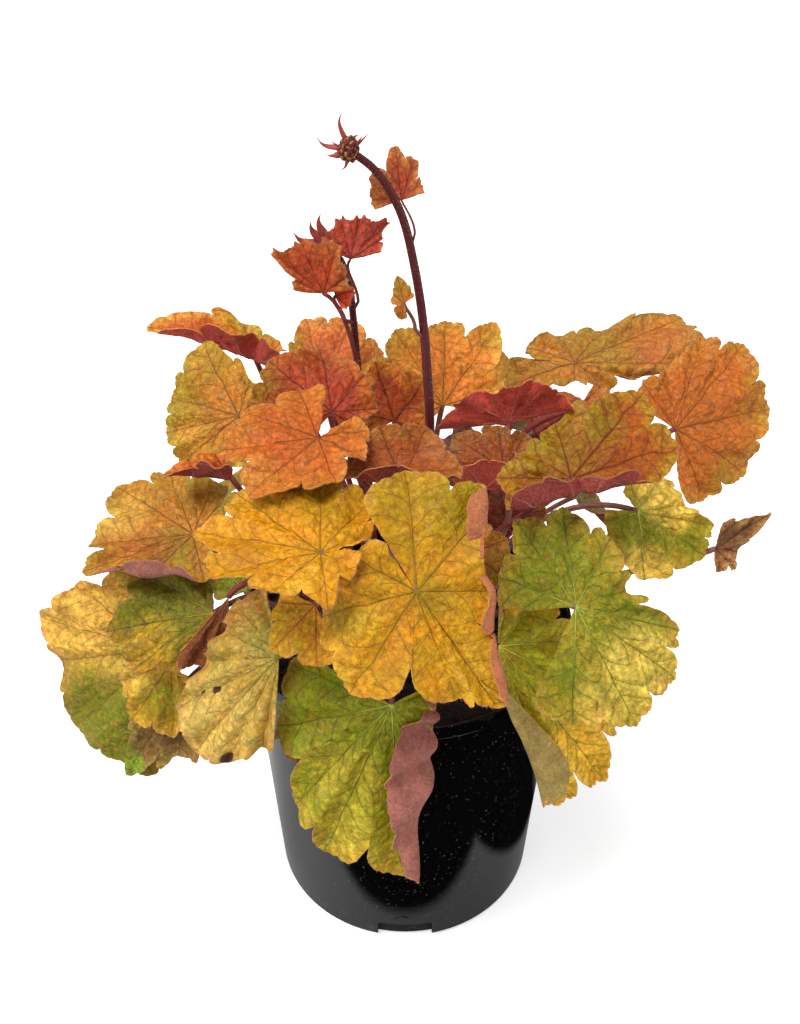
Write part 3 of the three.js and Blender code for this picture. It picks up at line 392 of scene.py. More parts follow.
class HeucheraPotShape(bpy.types.PropertyGroup):
    height: length("Height", "Floor to lip", 165)
    foot: length("Foot radius", "Outside radius at the floor", 68.5)
    top: length("Top radius", "Outside radius under the lip", 77.2)
    wall: length("Wall", "Thickness of the wall", 1.6)
    base: length("Base", "Height of the base's inside over the floor", 2)
    lip: length("Lip radius", "Outside radius of the lip", 81)
    lip_height: length("Lip height", "Height of the lip", 8)
    notch_width: length("Notch width", "Width of a drain notch in the foot", 28)
    notch_height: length("Notch height", "Height of a drain notch", 12)
    notch_depth: length("Notch depth", "How far a notch runs in under the base", 8)
    drain_radius: length("Drain radius", "Radius of the drain holes in the base", 5)
    drain_circle: length("Drain circle", "Radius of the circle of drain holes", 34)
    segments: number("Segments", "Faces round the pot", 144, 24, 288)


class HeucheraStage(bpy.types.PropertyGroup):
    key: light("Key light", "Strength of the broad light overhead", 2.4)
    glow: light("Floor glow", "Light that the floor itself gives", 0.55)
    side: light("Side lights", "Power of each light at the side", 2.5, unit="POWER")
    room: light("Room light", "Strength of the even light all round", 0.42)


# ---------------------------------------------------------------- shader building


class Tree:
    """Adds nodes to a shader tree. Most of its functions return the output that the next node reads."""

    def __init__(self, tree):
        self.tree = tree

    def feed(self, node, **inputs):
        """Links or sets a node's inputs, by name or, as in i0, by number."""
        for key, value in inputs.items():
            numbered = key[0] == "i" and key[1:].isdigit()
            socket = node.inputs[int(key[1:]) if numbered else key.replace("_", " ")]
            if isinstance(value, bpy.types.NodeSocket):
                self.tree.links.new(value, socket)
            elif socket.type == "RGBA":
                socket.default_value = (*value, 1)
            else:
                socket.default_value = value
        return node

    def node(self, kind, settings=(), **inputs):
        node = self.tree.nodes.new(kind)
        for key, value in dict(settings).items():
            setattr(node, key, value)
        return self.feed(node, **inputs)

    def group(self, tree, **inputs):
        return self.node("ShaderNodeGroup", {"node_tree": tree}, **inputs).outputs

    def place(self):
        """Where the surface is on the object, in metres."""
        return self.node("ShaderNodeTexCoord").outputs["Object"]

    def uv(self, name):
        return self.node("ShaderNodeUVMap", {"uv_map": name}).outputs[0]

    def attribute(self, name, output):
        return self.node("ShaderNodeAttribute", {"attribute_name": name}).outputs[output]

    def scaled(self, vector, *scale):
        return self.node("ShaderNodeMapping", i0=vector, Scale=scale).outputs[0]

    def math(self, operation, *values, clamp=False):
        inputs = {f"i{i}": value for i, value in enumerate(values)}
        return self.node("ShaderNodeMath", {"operation": operation, "use_clamp": clamp}, **inputs).outputs[0]

    def times(self, a, b):
        return self.math("MULTIPLY", a, b)

    def plus(self, a, b):
        return self.math("ADD", a, b)

    def minus(self, a, b, clamp=False):
        return self.math("SUBTRACT", a, b, clamp=clamp)

    def swing(self, value, size):
        """A noise moved to swing about zero, its whole range as wide as size."""
        return self.times(self.minus(value, 0.5), size)

    def mix(self, factor, a, b, blend="MIX"):
        settings = {"data_type": "RGBA", "blend_type": blend}
        return self.node("ShaderNodeMix", settings, i0=factor, i6=a, i7=b).outputs[2]

    def tinted(self, a, tint):
        return self.mix(1.0, a, tint, "MULTIPLY")

    def ramp(self, value, low, high, start=0.0, end=1.0):
        ends = dict(i1=low, i2=high, i3=start, i4=end)
        return self.node("ShaderNodeMapRange", {"clamp": True}, i0=value, **ends).outputs[0]

    def noise(self, vector, scale, detail=2.0, rough=0.5, output=0):
        inputs = dict(Vector=vector, Scale=scale, Detail=detail, Roughness=rough)
        return self.node("ShaderNodeTexNoise", **inputs).outputs[output]

    def bump(self, height, strength, distance):
        return self.node("ShaderNodeBump", Strength=strength, Distance=distance, Height=height).outputs[0]


def new_group(name, inputs, outputs):
    tree = bpy.data.node_groups.new(name, "ShaderNodeTree")
    for label, kind, value in inputs:
        socket = tree.interface.new_socket(name=label, in_out="INPUT", socket_type="NodeSocket" + kind)
        socket.default_value = (*value, 1) if kind == "Color" else value
    for label, kind in outputs:
        tree.interface.new_socket(name=label, in_out="OUTPUT", socket_type="NodeSocket" + kind)
    source = tree.nodes.new("NodeGroupInput").outputs
    return Tree(tree), source, tree.nodes.new("NodeGroupOutput")


VEIN_MARKS = ("Main", "Branches", "Halo", "Net", "Rim", "Dome", "Near hub")


def leaf_veins_group():
    """Palmate veins from the hub to each lobe, branches towards the teeth, and the fine net between them."""
    name = "Leaf veins"
    if name in bpy.data.node_groups:
        return bpy.data.node_groups[name]
    t, source, target = new_group(
        name,
        [("Branch spacing", "Float", 8.5), ("Net size", "Float", 3.4)],
        [*((mark, "Float") for mark in VEIN_MARKS), ("Relief", "Float"), ("Flat", "Vector")],
    )
    flat = t.uv("flat")
    gap = t.attribute("rim_gap", "Fac")
    apart = t.node("ShaderNodeSeparateColor", i0=t.noise(flat, 0.75, output="Color")).outputs
    # the mark is odd at a lobe and even at a sinus, and out is the distance from the hub in millimetres
    mark, radius = t.node("ShaderNodeSeparateXYZ", i0=t.uv("spokes")).outputs[:2]
    out = t.times(radius, 10.0)
    aside = t.minus(1.0, t.math("PINGPONG", t.plus(mark, t.swing(apart[0], 0.34)), 1.0))
    offset = t.times(t.times(aside, out), 0.5)
    main = t.minus(1.5, t.math("DIVIDE", offset, t.plus(0.1, t.times(gap, 0.01))), clamp=True)
    # branches leave the main veins at a slant
    lean = t.minus(t.plus(out, t.swing(apart[1], 9.0)), t.times(aside, 9.0))
    phase = t.math("FRACT", t.math("DIVIDE", lean, source["Branch spacing"]))
    away = t.times(t.math("ABSOLUTE", t.minus(phase, 0.5)), source["Branch spacing"])
    side = t.minus(1.35, t.math("DIVIDE", away, t.plus(0.13, t.times(gap, 0.006))), clamp=True)
    side = t.times(side, t.ramp(out, 3.0, 8.0))
    # the net has coarse meshes and finer ones inside them
    size = t.math("DIVIDE", 10.0, source["Net size"])
    warp = t.noise(flat, 2.6, output="Color")
    warp = t.node("ShaderNodeVectorMath", {"operation": "SCALE"}, i0=warp, Scale=0.5)
    bent = t.node("ShaderNodeVectorMath", {"operation": "ADD"}, i0=flat, i1=warp.outputs[0]).outputs[0]
    cells = {"feature": "DISTANCE_TO_EDGE", "voronoi_dimensions": "2D"}
    coarse = t.node("ShaderNodeTexVoronoi", cells, Vector=bent, Scale=size).outputs["Distance"]
    fine = t.node("ShaderNodeTexVoronoi", cells, Vector=bent, Scale=t.times(size, 2.6)).outputs["Distance"]
    net = t.minus(1.0, t.times(coarse, 5.5), clamp=True)
    small = t.minus(1.0, t.times(fine, 6.0), clamp=True)
    net = t.math("MAXIMUM", t.times(net, 0.55), t.times(small, 0.4))
    dome = t.ramp(coarse, 0.0, 0.45)
    halo = t.math("MAXIMUM", t.ramp(offset, 3.2, 0.2), t.times(t.ramp(away, 2.4, 0.1), 0.8))
    relief = t.minus(t.times(dome, 0.4), t.times(main, 0.6))
    relief = t.minus(relief, t.times(side, 0.3))
    t.feed(target, Main=main, Branches=side, Halo=halo, Net=net, Rim=t.ramp(gap, 0.55, 0.15), Dome=dome,
           Near_hub=t.ramp(out, 26.0, 5.0), Relief=relief, Flat=flat)
    return t.tree


def leaf_paint_group():
    """Lays the leaf's colours over one another: mottle, patches, painted highlights on the puckers, veins,
    edge zone and pale rim.
    """
    name = "Leaf colours"
    if name in bpy.data.node_groups:
        return bpy.data.node_groups[name]
    labels = ("Face", "Deep", "Vein", "Star", "Edge zone", "Green", "Rust", "Dry", "Pale")
    inputs = [(label, "Color", (0.5, 0.5, 0.5)) for label in labels]
    inputs += [(mark, "Float", 0.0) for mark in (*VEIN_MARKS, "Vein strength", "Net strength")]
    inputs.append(("Flat", "Vector", (0, 0, 0)))
    t, source, target = new_group(name, inputs, [("Color", "Color"), ("Roughness", "Float")])
    colours = bpy.context.scene.heuchera_colours
    flat = source["Flat"]
    gap = t.attribute("rim_gap", "Fac")
    green, rust, dry = t.node("ShaderNodeSeparateColor", i0=t.attribute("paint", "Color")).outputs[:3]
    pale = t.attribute("paint", "Alpha")
    broad = t.noise(flat, 0.55, 3.0, 0.6)
    middle = t.noise(flat, 1.7, 3.0, 0.6)
    speck = t.noise(flat, 4.5, 3.0, 0.65)
    tiny = t.noise(flat, 14.0, 3.0, 0.7)
    # the face, its mottle and its edge zone
    mottle = t.ramp(t.plus(t.times(broad, 0.6), t.times(middle, 0.4)), 0.4, 0.6)
    c = t.mix(mottle, source["Face"], t.tinted(source["Deep"], (0.85, 0.8, 0.7)))
    edge = t.ramp(t.plus(gap, t.swing(broad, 14.0)), 9.0, 0.0)
    c = t.mix(t.times(edge, 0.8), c, source["Edge zone"])
    # some stretches are redder and some greener
    hue = t.ramp(t.noise(flat, 0.7), 0.35, 0.65)
    c = t.tinted(c, t.mix(hue, (1.07, 0.94, 0.75), (0.93, 1.05, 0.85)))
    # patches with cloudy edges
    cloud = t.ramp(middle, 0.38, 0.62)
    for mask, soft, label in ((green, 0.35, "Green"), (rust, 0.3, "Rust"), (pale, 0.3, "Pale")):
        patch = t.times(mask, t.plus(1.0 - soft, t.times(cloud, 2.0 * soft)))
        c = t.mix(t.math("MINIMUM", patch, 1.0), c, source[label])
    # dark specks, and painted highlights on the puckers
    specks = t.times(t.ramp(speck, 0.42, 0.62), t.ramp(broad, 0.3, 0.7, 1.0, 0.3))
    c = t.mix(specks, c, t.tinted(c, (0.62, 0.5, 0.34)))
    domes = t.times(t.plus(source["Dome"], t.ramp(speck, 0.5, 0.34)), t.ramp(broad, 0.36, 0.66, 0.2, 0.55))
    c = t.mix(domes, c, t.tinted(c, (1.5, 1.4, 1.05)))
    # the shade beside the veins, the net, the veins, and the star that they make at the hub
    beside = t.times(t.math("POWER", source["Halo"], 1.5), source["Vein strength"])
    c = t.mix(beside, c, t.mix(0.6, c, t.tinted(source["Deep"], (0.75, 0.72, 0.6))))
    c = t.mix(t.times(source["Net"], source["Net strength"]), c, source["Vein"])
    lines = t.math("MAXIMUM", source["Main"], t.times(source["Branches"], 0.6))
    c = t.mix(t.times(lines, source["Vein strength"]), c, source["Vein"])
    star = t.times(source["Main"], source["Near hub"])
    c = t.mix(t.times(star, 0.8), c, source["Star"])
    # withered spots
    withered = t.ramp(t.plus(dry, t.swing(tiny, 0.5)), 0.3, 0.55)
    c = t.mix(withered, c, source["Dry"])
    # fine painted light and shade, the leaf's tint, which is partly its own colour and partly painted light
    # that lifts leaves lying in shade, its pale rim, and flecks that are partly dust and partly painted
    # glints
    shade = t.plus(tiny, t.minus(t.times(middle, 1.5), 0.21))
    c = t.tinted(t.tinted(c, shade), t.attribute("tint", "Color"))
    c = t.mix(t.times(source["Rim"], 0.4), c, colours.rim)
    # pale flecks, partly dust and partly painted glints of light
    dust_and_glint = t.ramp(t.noise(flat, 11.0, 1.0), 0.735, 0.77)
    c = t.mix(t.times(dust_and_glint, 0.35), c, colours.dust_and_glint)
    t.feed(target, Color=c, Roughness=t.plus(0.38, t.times(middle, 0.24)))
    return t.tree


def new_material(name):
    material = bpy.data.materials.new(name)
    material.use_nodes = True
    return material, Tree(material.node_tree), material.node_tree.nodes["Principled BSDF"]


def leaf_face_material(tone):
    """Upper face of a leaf of one tone."""
    name = "leaf_face_" + tone
    if name in bpy.data.materials:
        return bpy.data.materials[name]
    colours = bpy.context.scene.heuchera_colours
    material, t, surface = new_material(name)
    veins = t.group(leaf_veins_group(), Branch_spacing=8.5, Net_size=3.4)
    picks = {"Face": tone, "Deep": tone + "_deep", "Vein": tone + "_vein", "Edge zone": tone + "_edge",
             "Star": "vein_star" if tone == "green" else tone + "_vein",
             "Green": "patch_green", "Rust": "patch_rust", "Dry": "patch_dry", "Pale": "patch_pale"}
    inputs = {label: getattr(colours, key) for label, key in picks.items()}
    inputs |= {label: veins[label] for label in (*VEIN_MARKS, "Flat")}
    strengths = dict(Vein_strength=TONES[tone].vein_strength, Net_strength=TONES[tone].net_strength)
    paint = t.group(leaf_paint_group(), **inputs, **strengths)
    grain = t.noise(veins["Flat"], 6.0, 4.0, 0.65)
    bump = t.bump(t.plus(veins["Relief"], t.times(grain, 0.8)), 0.9, 0.0007)
    t.feed(surface, Base_Color=paint["Color"], Roughness=paint["Roughness"], Normal=bump)
    t.feed(surface, Specular_IOR_Level=0.3)
    return material


def leaf_under_material(kind):
    """Underside of a leaf: raised paler veins, a felted bloom and a dusty tint."""
    name = "leaf_" + kind
    if name in bpy.data.materials:
        return bpy.data.materials[name]
    colours = bpy.context.scene.heuchera_colours
    material, t, surface = new_material(name)
    veins = t.group(leaf_veins_group(), Branch_spacing=8.5, Net_size=3.4)
    flat = veins["Flat"]
    base = getattr(colours, kind)
    deep = tuple(0.5 * v for v in base)
    pale = tuple(0.55 * v + 0.34 * w for v, w in zip(base, colours.bloom))
    cloud = t.ramp(t.noise(flat, 1.2, 3.0, 0.6), 0.35, 0.65)
    c = t.mix(t.times(cloud, 0.8), base, deep)
    c = t.tinted(c, t.ramp(t.noise(flat, 8.0, 4.0, 0.7), 0.3, 0.7, 0.65, 1.3))
    c = t.mix(t.times(veins["Net"], 0.35), c, deep)
    lines = t.math("MAXIMUM", veins["Main"], t.times(veins["Branches"], 0.6))
    c = t.mix(t.times(lines, 0.75), c, pale)
    felt = t.ramp(t.noise(flat, 14.0, 1.0), 0.5, 0.75)
    c = t.mix(t.times(felt, 0.3), c, pale)
    c = t.mix(t.times(veins["Rim"], 0.4), c, colours.rim_under)
    bump = t.bump(t.minus(t.times(t.noise(flat, 12.0), 0.3), veins["Relief"]), 0.8, 0.0005)
    t.feed(surface, Base_Color=c, Normal=bump, Roughness=0.72, Specular_IOR_Level=0.25)
    return material


def stalk_material(name, base, streak, rough=0.55):
    """Fleshy stalk or stem: lengthwise streaks and a darker mottle."""
    if name in bpy.data.materials:
        return bpy.data.materials[name]
    material, t, surface = new_material(name)
    flat = t.uv("flat")
    lines = t.noise(t.scaled(flat, 0.5, 9.0, 1.0), 2.2, 3.0, 0.6)
    spots = t.noise(flat, 5.0, 3.0, 0.6)
    c = t.mix(t.ramp(lines, 0.35, 0.65), base, streak)
    c = t.mix(t.times(t.ramp(spots, 0.5, 0.7), 0.5), c, tuple(0.5 * v for v in base))
    bump = t.bump(t.plus(lines, t.times(spots, 0.4)), 0.6, 0.0003)
    t.feed(surface, Base_Color=c, Normal=bump, Roughness=t.plus(rough - 0.1, t.times(spots, 0.25)))
    return material


def bud_material(colours):
    """Closed buds, each between yellow and the stem's red, with a red blush."""
    material, t, surface = new_material("bud_grain")
    place = t.place()
    c = t.mix(t.ramp(t.noise(place, 760.0, 1.0), 0.36, 0.44), colours.bud, colours.stem)
    c = t.mix(t.ramp(t.noise(place, 1400.0), 0.4, 0.7, 0.0, 0.5), c, colours.under_red)
    t.feed(surface, Base_Color=c, Roughness=0.5)
    return material


def hair_material():
    """Fine hairs, some of them redder."""
    name = "plant_hair"
    if name in bpy.data.materials:
        return bpy.data.materials[name]
    material, t, surface = new_material(name)
    base = bpy.context.scene.heuchera_colours.hair
    redder = tuple(v * w for v, w in zip(base, (0.9, 0.6, 0.5)))
    t.feed(surface, Base_Color=t.mix(t.noise(t.place(), 300.0), base, redder), Roughness=0.5)
    return material


def pot_material():
    """Glossy black plastic with faint rings from moulding, dust specks and scuffs near the foot."""
    material, t, surface = new_material("pot_black_plastic")
    colours = bpy.context.scene.heuchera_colours
    place = t.place()
    height = t.node("ShaderNodeSeparateXYZ", i0=place).outputs[2]
    rings = t.noise(t.scaled(place, 1.0, 1.0, 26.0), 9.0)
    dust = t.ramp(t.noise(place, 1000.0, 0.0), 0.79, 0.81)
    scuff = t.times(t.ramp(t.noise(place, 220.0, 4.0, 0.7), 0.52, 0.66), t.ramp(height, 0.02, 0.0))
    haze = t.noise(place, 26.0, 4.0, 0.65)
    c = t.mix(t.times(dust, 0.5), colours.pot, colours.dust)
    c = t.mix(t.times(scuff, 0.5), c, colours.scuff)
    rough = t.plus(t.plus(0.05, t.times(haze, 0.1)), t.times(scuff, 0.4))
    bump = t.bump(t.plus(rings, t.times(scuff, 0.5)), 0.08, 0.0006)
    t.feed(surface, Base_Color=c, Roughness=rough, Normal=bump, Specular_IOR_Level=0.5)
    return material


def soil_material(name, spread):
    """Dark peat with lighter fibres; spread says how many of them there are."""
    material, t, surface = new_material(name)
    colours = bpy.context.scene.heuchera_colours
    place = t.place()
    coarse = t.noise(place, 260.0, 4.0, 0.7)
    fine = t.noise(place, 1100.0)
    c = t.mix(t.times(t.ramp(coarse, 0.5, 0.68), spread), colours.soil, colours.soil_light)
    c = t.mix(t.ramp(fine, 0.35, 0.6, 0.6, 0.0), c, colours.soil_dark)
    bump = t.bump(t.plus(coarse, t.times(fine, 0.5)), 0.9, 0.0012)
    t.feed(surface, Base_Color=c, Normal=bump, Roughness=t.ramp(fine, 0.3, 0.7, 0.75, 0.95))
    return material


def crown_material():
    """Bark that is cracked lengthwise."""
    material, t, surface = new_material("crown_bark")
    colours = bpy.context.scene.heuchera_colours
    lines = t.noise(t.scaled(t.place(), 1.0, 1.0, 0.25), 700.0, 3.0, 0.65)
    c = t.mix(t.ramp(lines, 0.35, 0.65), colours.bark, colours.bark_dark)
    bump = t.bump(lines, 0.8, 0.001)
    t.feed(surface, Base_Color=c, Normal=bump, Roughness=t.ramp(lines, 0.3, 0.7, 0.9, 0.7))
    return material


# ---------------------------------------------------------------- mesh helpers


def piece_from(bm, name, materials):
    mesh = bpy.data.meshes.new(name)
    bm.to_mesh(mesh)
    bm.free()
    for material in materials:
        mesh.materials.append(material)
    for face in mesh.polygons:
        face.use_smooth = True
    obj = bpy.data.objects.new(name, mesh)
    bpy.context.scene.collection.objects.link(obj)
    return obj


def joined(name, parts):
    """One object from several, keeping each one's materials and maps."""
    first = parts[0]
    with bpy.context.temp_override(active_object=first, object=first, selected_objects=parts,
                                   selected_editable_objects=parts):
        bpy.ops.object.join()
    first.name = name
    first.data.name = name
    return first


def on_plant(piece, slot, *nodes):
    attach(piece, "root")
    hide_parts(*nodes)


def maps_of(bm):
    """The maps that every plant piece carries, so that pieces can be joined.

    On a blade, spokes holds the mark on the rim and the distance from the hub, and flat holds the blade laid
    flat; on a tube, flat runs along it and round it. Both are in centimetres. rim_gap is in millimetres.
    """
    uvs, floats, colours = bm.loops.layers.uv, bm.verts.layers.float, bm.verts.layers.float_color
    layers = {"spokes": uvs, "flat": uvs, "rim_gap": floats, "paint": colours, "tint": colours}
    return {name: kind.new(name) for name, kind in layers.items()}


def tube(name, line, radii, sides, material, squash=1.0):
    """A closed round bar along a line of points, in millimetres."""
    bm = bmesh.new()
    flat = maps_of(bm)["flat"]
    count = len(line) - 1
    bmesh.ops.create_grid(bm, x_segments=count, y_segments=sides, size=0.5)
    line = [Vector(p) for p in line]
    tangents = [(line[min(i + 1, count)] - line[max(i - 1, 0)]).normalized() for i in range(count + 1)]
    across = tangents[0].orthogonal().normalized()
    axes = []
    for tangent in tangents:
        across = (across - tangent * across.dot(tangent)).normalized()
        axes.append((across.copy(), tangent.cross(across)))
    run = [0.0]
    for a, b in zip(line, line[1:]):
        run.append(run[-1] + (b - a).length)
    steps = {v: (round((v.co.x + 0.5) * count), v.co.y + 0.5) for v in bm.verts}
    for face in bm.faces:
        for loop in face.loops:
            # a full turn is 0.63 of the radius, since the map is in centimetres
            i, turn = steps[loop.vert]
            loop[flat].uv = (run[i] / 10, turn * radii[i] * 0.63)
    for v, (i, turn) in steps.items():
        u, w = axes[i]
        angle = 2 * math.pi * turn
        v.co = (line[i] + radii[i] * (math.cos(angle) * u + squash * math.sin(angle) * w)) * MM
    bmesh.ops.remove_doubles(bm, verts=bm.verts, dist=1e-6)
    bmesh.ops.holes_fill(bm, edges=[e for e in bm.edges if e.is_boundary], sides=0)
    bmesh.ops.recalc_face_normals(bm, faces=bm.faces)
    return piece_from(bm, name, [material])


def hairs(name, roots, radius=0.045):
    """Fine three-sided spikes; each root is a point, a direction and a length, in millimetres."""
    bm = bmesh.new()
    maps_of(bm)
    for point, direction, size in roots:
        direction = Vector(direction).normalized()
        turn = direction.to_track_quat("Z", "Y").to_matrix().to_4x4()
        middle = Vector(point) + direction * size / 2
        bmesh.ops.create_cone(bm, cap_ends=True, segments=3, radius1=radius * MM, radius2=radius * 0.15 * MM,
                              depth=size * MM, matrix=Matrix.Translation(middle * MM) @ turn)
    return piece_from(bm, name, [hair_material()])


def scattered(key, count):
    """The same even-handed random numbers each run."""
    return np.random.default_rng(key).random(count)


def on_circle(radius, degrees, height):
    angle = math.radians(degrees)
    return Vector((radius * math.cos(angle), radius * math.sin(angle), height))


# ---------------------------------------------------------------- one leaf


def rim_marks(leaf):
    """The rim runs heel, lobe, sinus, lobe ... lobe, heel: direction, reach and sinus depth of each mark."""
    lobes = leaf["lobes"]
    marks = [(lobes[0][0] - leaf["heel"], lobes[0][1], leaf["cut"])]
    for i, (turn, reach, *depth) in enumerate(lobes):
        sinus = depth[0] if depth else leaf["cut"]
        after = lobes[i + 1] if i + 1 < len(lobes) else (turn + 2 * leaf["heel"], reach)
        marks += [(turn, reach, 0), ((turn + after[0]) / 2, (reach + after[1]) / 2, sinus)]
    return np.array(marks, float)


def rim_at(leaf, mark):
    """Direction from the midrib in radians and distance from the hub of the rim."""
    marks = leaf["marks"]
    i = np.clip(np.floor(mark + 1e-9).astype(int), 0, len(marks) - 2)
    part = mark - i
    ease = (1 - np.cos(np.pi * part)) / 2
    turn = marks[i, 0] + (marks[i + 1, 0] - marks[i, 0]) * part
    reach = marks[i, 1] + (marks[i + 1, 1] - marks[i, 1]) * ease
    sinus = np.maximum(marks[i, 2], marks[i + 1, 2])
    lobe = 1 - sinus * (1 - np.abs(np.sin(np.pi * mark / 2)) ** 0.5)
    tooth = 1 - leaf["tooth"] * (1 - np.abs(np.sin(1.5 * np.pi * mark)) ** 0.7)
    return np.radians(turn), leaf["length"] * reach * lobe * tooth


def headed(direction):
    """The way in the blade's plane, at an angle in degrees from the midrib."""
    return np.array([math.cos(math.radians(direction)), math.sin(math.radians(direction))])


def bend(points, step, size):
    """Rolls the blade round a cylinder whose axis lies across the step's direction."""
    direction, start, stretch, turn = step
    along = headed(direction)
    reach = points[:, :2] @ along - start * size
    span, angle_all = stretch * size, math.radians(turn)
    angle = angle_all * np.clip(reach / span, 0, 1)
    radius = span / angle_all
    past = np.maximum(reach - span, 0)
    arm = radius - points[:, 2]
    shift = arm * np.sin(angle) + past * np.cos(angle) - reach
    moved = points.copy()
    moved[:, :2] += shift[:, None] * along
    moved[:, 2] = radius - arm * np.cos(angle) + past * np.sin(angle)
    return np.where((reach > 0)[:, None], moved, points)


def blade_points(leaf, mark, part):
    """Points of the blade's middle surface, part of the way from the hub to the rim."""
    turn, reach = rim_at(leaf, mark)
    pleat = leaf["pleat"] * np.cos(np.pi * mark) * part**1.5
    ruffle = leaf["ruffle"] * np.sin(3 * turn + leaf["phase"]) * part**2
    height = leaf["length"] * (pleat + ruffle)
    points = np.stack([part * reach * np.cos(turn), part * reach * np.sin(turn), height], 1)
    for step in leaf["bends"]:
        points = bend(points, step, leaf["length"])
    return points


def blade_faces(leaf, mark, part):
    """The way that the middle surface faces at each point."""
    inner = np.maximum(part, 0.02)
    here = blade_points(leaf, mark, inner)
    out = blade_points(leaf, mark, inner + 1e-3) - here
    turned = blade_points(leaf, mark + 0.02, inner) - here
    normal = np.cross(out, turned)
    return normal / np.maximum(np.linalg.norm(normal, axis=1), 1e-9)[:, None]


def blade_place(leaf):
    """Rows of the turn from the blade's own axes (midrib, side, face) to the plant's."""
    heading, pitch, roll = (math.radians(a) for a in leaf["aim"])
    level = math.cos(pitch)
    midrib = Vector((math.cos(heading) * level, math.sin(heading) * level, math.sin(pitch)))
    side = Matrix.Rotation(roll, 3, midrib) @ Vector((-math.sin(heading), math.cos(heading), 0))
    return np.array([midrib, side, midrib.cross(side)])


def ring_parts(leaf, mark, step):
    """Where the rings stand on each spoke: evenly, and closer together where the blade is folded over."""
    fold = next((b for b in leaf["bends"] if b[3] > FOLD), None)
    if not fold:
        return step
    direction, start, stretch, _ = fold
    turn, reach = rim_at(leaf, mark)
    run = np.maximum(reach / leaf["length"] * np.cos(turn - math.radians(direction)), 1e-3)
    near = np.minimum(start / run, 1)
    far = np.minimum((start + stretch) / run, 1)
    # 45 percent of the rings stand before the fold and 25 percent in it
    gathered = np.where(step < 0.45, step / 0.45 * near,
                        np.where(step < 0.7, near + (step - 0.45) / 0.25 * (far - near),
                                 far + (step - 0.7) / 0.3 * (1 - far)))
    weight = np.clip((run - start) / stretch, 0, 1)
    weight = weight * weight * (3 - 2 * weight)
    return step + (gathered - step) * weight


def fine_relief(leaf, mark, part, turn, flat, shape):
    """Height of the puckers, creases and loose waves over the plain blade, in millimetres."""
    aside = np.abs((mark + 1) % 2 - 1)
    across = aside * np.linalg.norm(flat, axis=1) * 0.5
    crease = np.exp(-(across**2)) * np.clip(part * 4, 0, 1) * (1.1 - part)
    seed = leaf["seed"] * 7.3
    size = max(leaf["length"] / 9, 3.2)
    pucker = np.empty(len(mark))
    wave = np.empty(len(mark))
    for i, (x, y) in enumerate(flat):
        near = noise.voronoi(Vector((x / size, y / size, seed)))[0]
        pucker[i] = min(near[1] - near[0], 0.6) / 0.6
        wave[i] = noise.noise(Vector((x / 13, y / 13, seed)))
        wave[i] += 0.35 * noise.noise(Vector((x / 5, y / 5, seed)))
    quilt = shape.quilt * pucker * np.clip(part * 3, 0, 1) * np.clip((1 - part) * 5, 0.15, 1)
    loose = shape.wave * wave * part
    curl = shape.wave * 0.5 * np.sin(turn * 11 + seed) * part**8
    # a small leaf is flatter, and a fold runs smoother
    scale = min(leaf["length"] / 40, 1) / MM
    for direction, start, _, angle in leaf["bends"]:
        if angle > FOLD:
            past = flat @ headed(direction) / leaf["length"] - start
            scale = scale * (1 - 0.8 * np.clip((past + 0.25) / 0.15, 0, 1))
    return scale * (quilt + loose + curl - shape.crease * crease)


def painted(leaf, flat):
    """Masks of the leaf's patches: green, rust, dry and pale."""
    masks = np.zeros((len(flat), len(PAINTS)))
    for kind, direction, reach, radius, strength in leaf["paint"]:
        middle = reach * leaf["length"] * headed(direction)
        near = 1 - np.clip(np.linalg.norm(flat - middle, axis=1) / (radius * leaf["length"]), 0, 1) ** 2
        channel = PAINTS.index(kind)
        masks[:, channel] = np.maximum(masks[:, channel], strength * near * near * (3 - 2 * near))
    return masks


def thicken(bm, way):
    """Gives the blade its upper face and its underside, each moved by the way at its point."""
    lower, under = list(bm.verts), list(bm.faces)
    grown = bmesh.ops.extrude_face_region(bm, geom=under, use_keep_orig=True)["geom"]
    for v in grown:
        if isinstance(v, bmesh.types.BMVert):
            v.co += v[way]
    for v in lower:
        v.co -= v[way]
    bmesh.ops.reverse_faces(bm, faces=under)
    for face in under:
        face.material_index = 1


def rim_hairs(leaf, shape, marks, points, ways):
    """Hairs that stand out from the rim, at a little over half of its points."""
    basis = blade_place(leaf)
    roots = []
    draws = scattered(leaf["seed"] + 500, len(marks) * 3).reshape(-1, 3)
    for (chance, size, lean), mark, point, way in zip(draws, marks, points, ways):
        if chance < 0.55:
            edge, inside = blade_points(leaf, np.array([mark, mark]), np.array([1.0, 0.93]))
            outward = (edge - inside) @ basis + way * (lean - 0.5) * 1.5
            roots.append((point / MM, outward, shape.hair / MM * (0.35 + 0.45 * size)))
    return hairs("fringe", roots, 0.035)


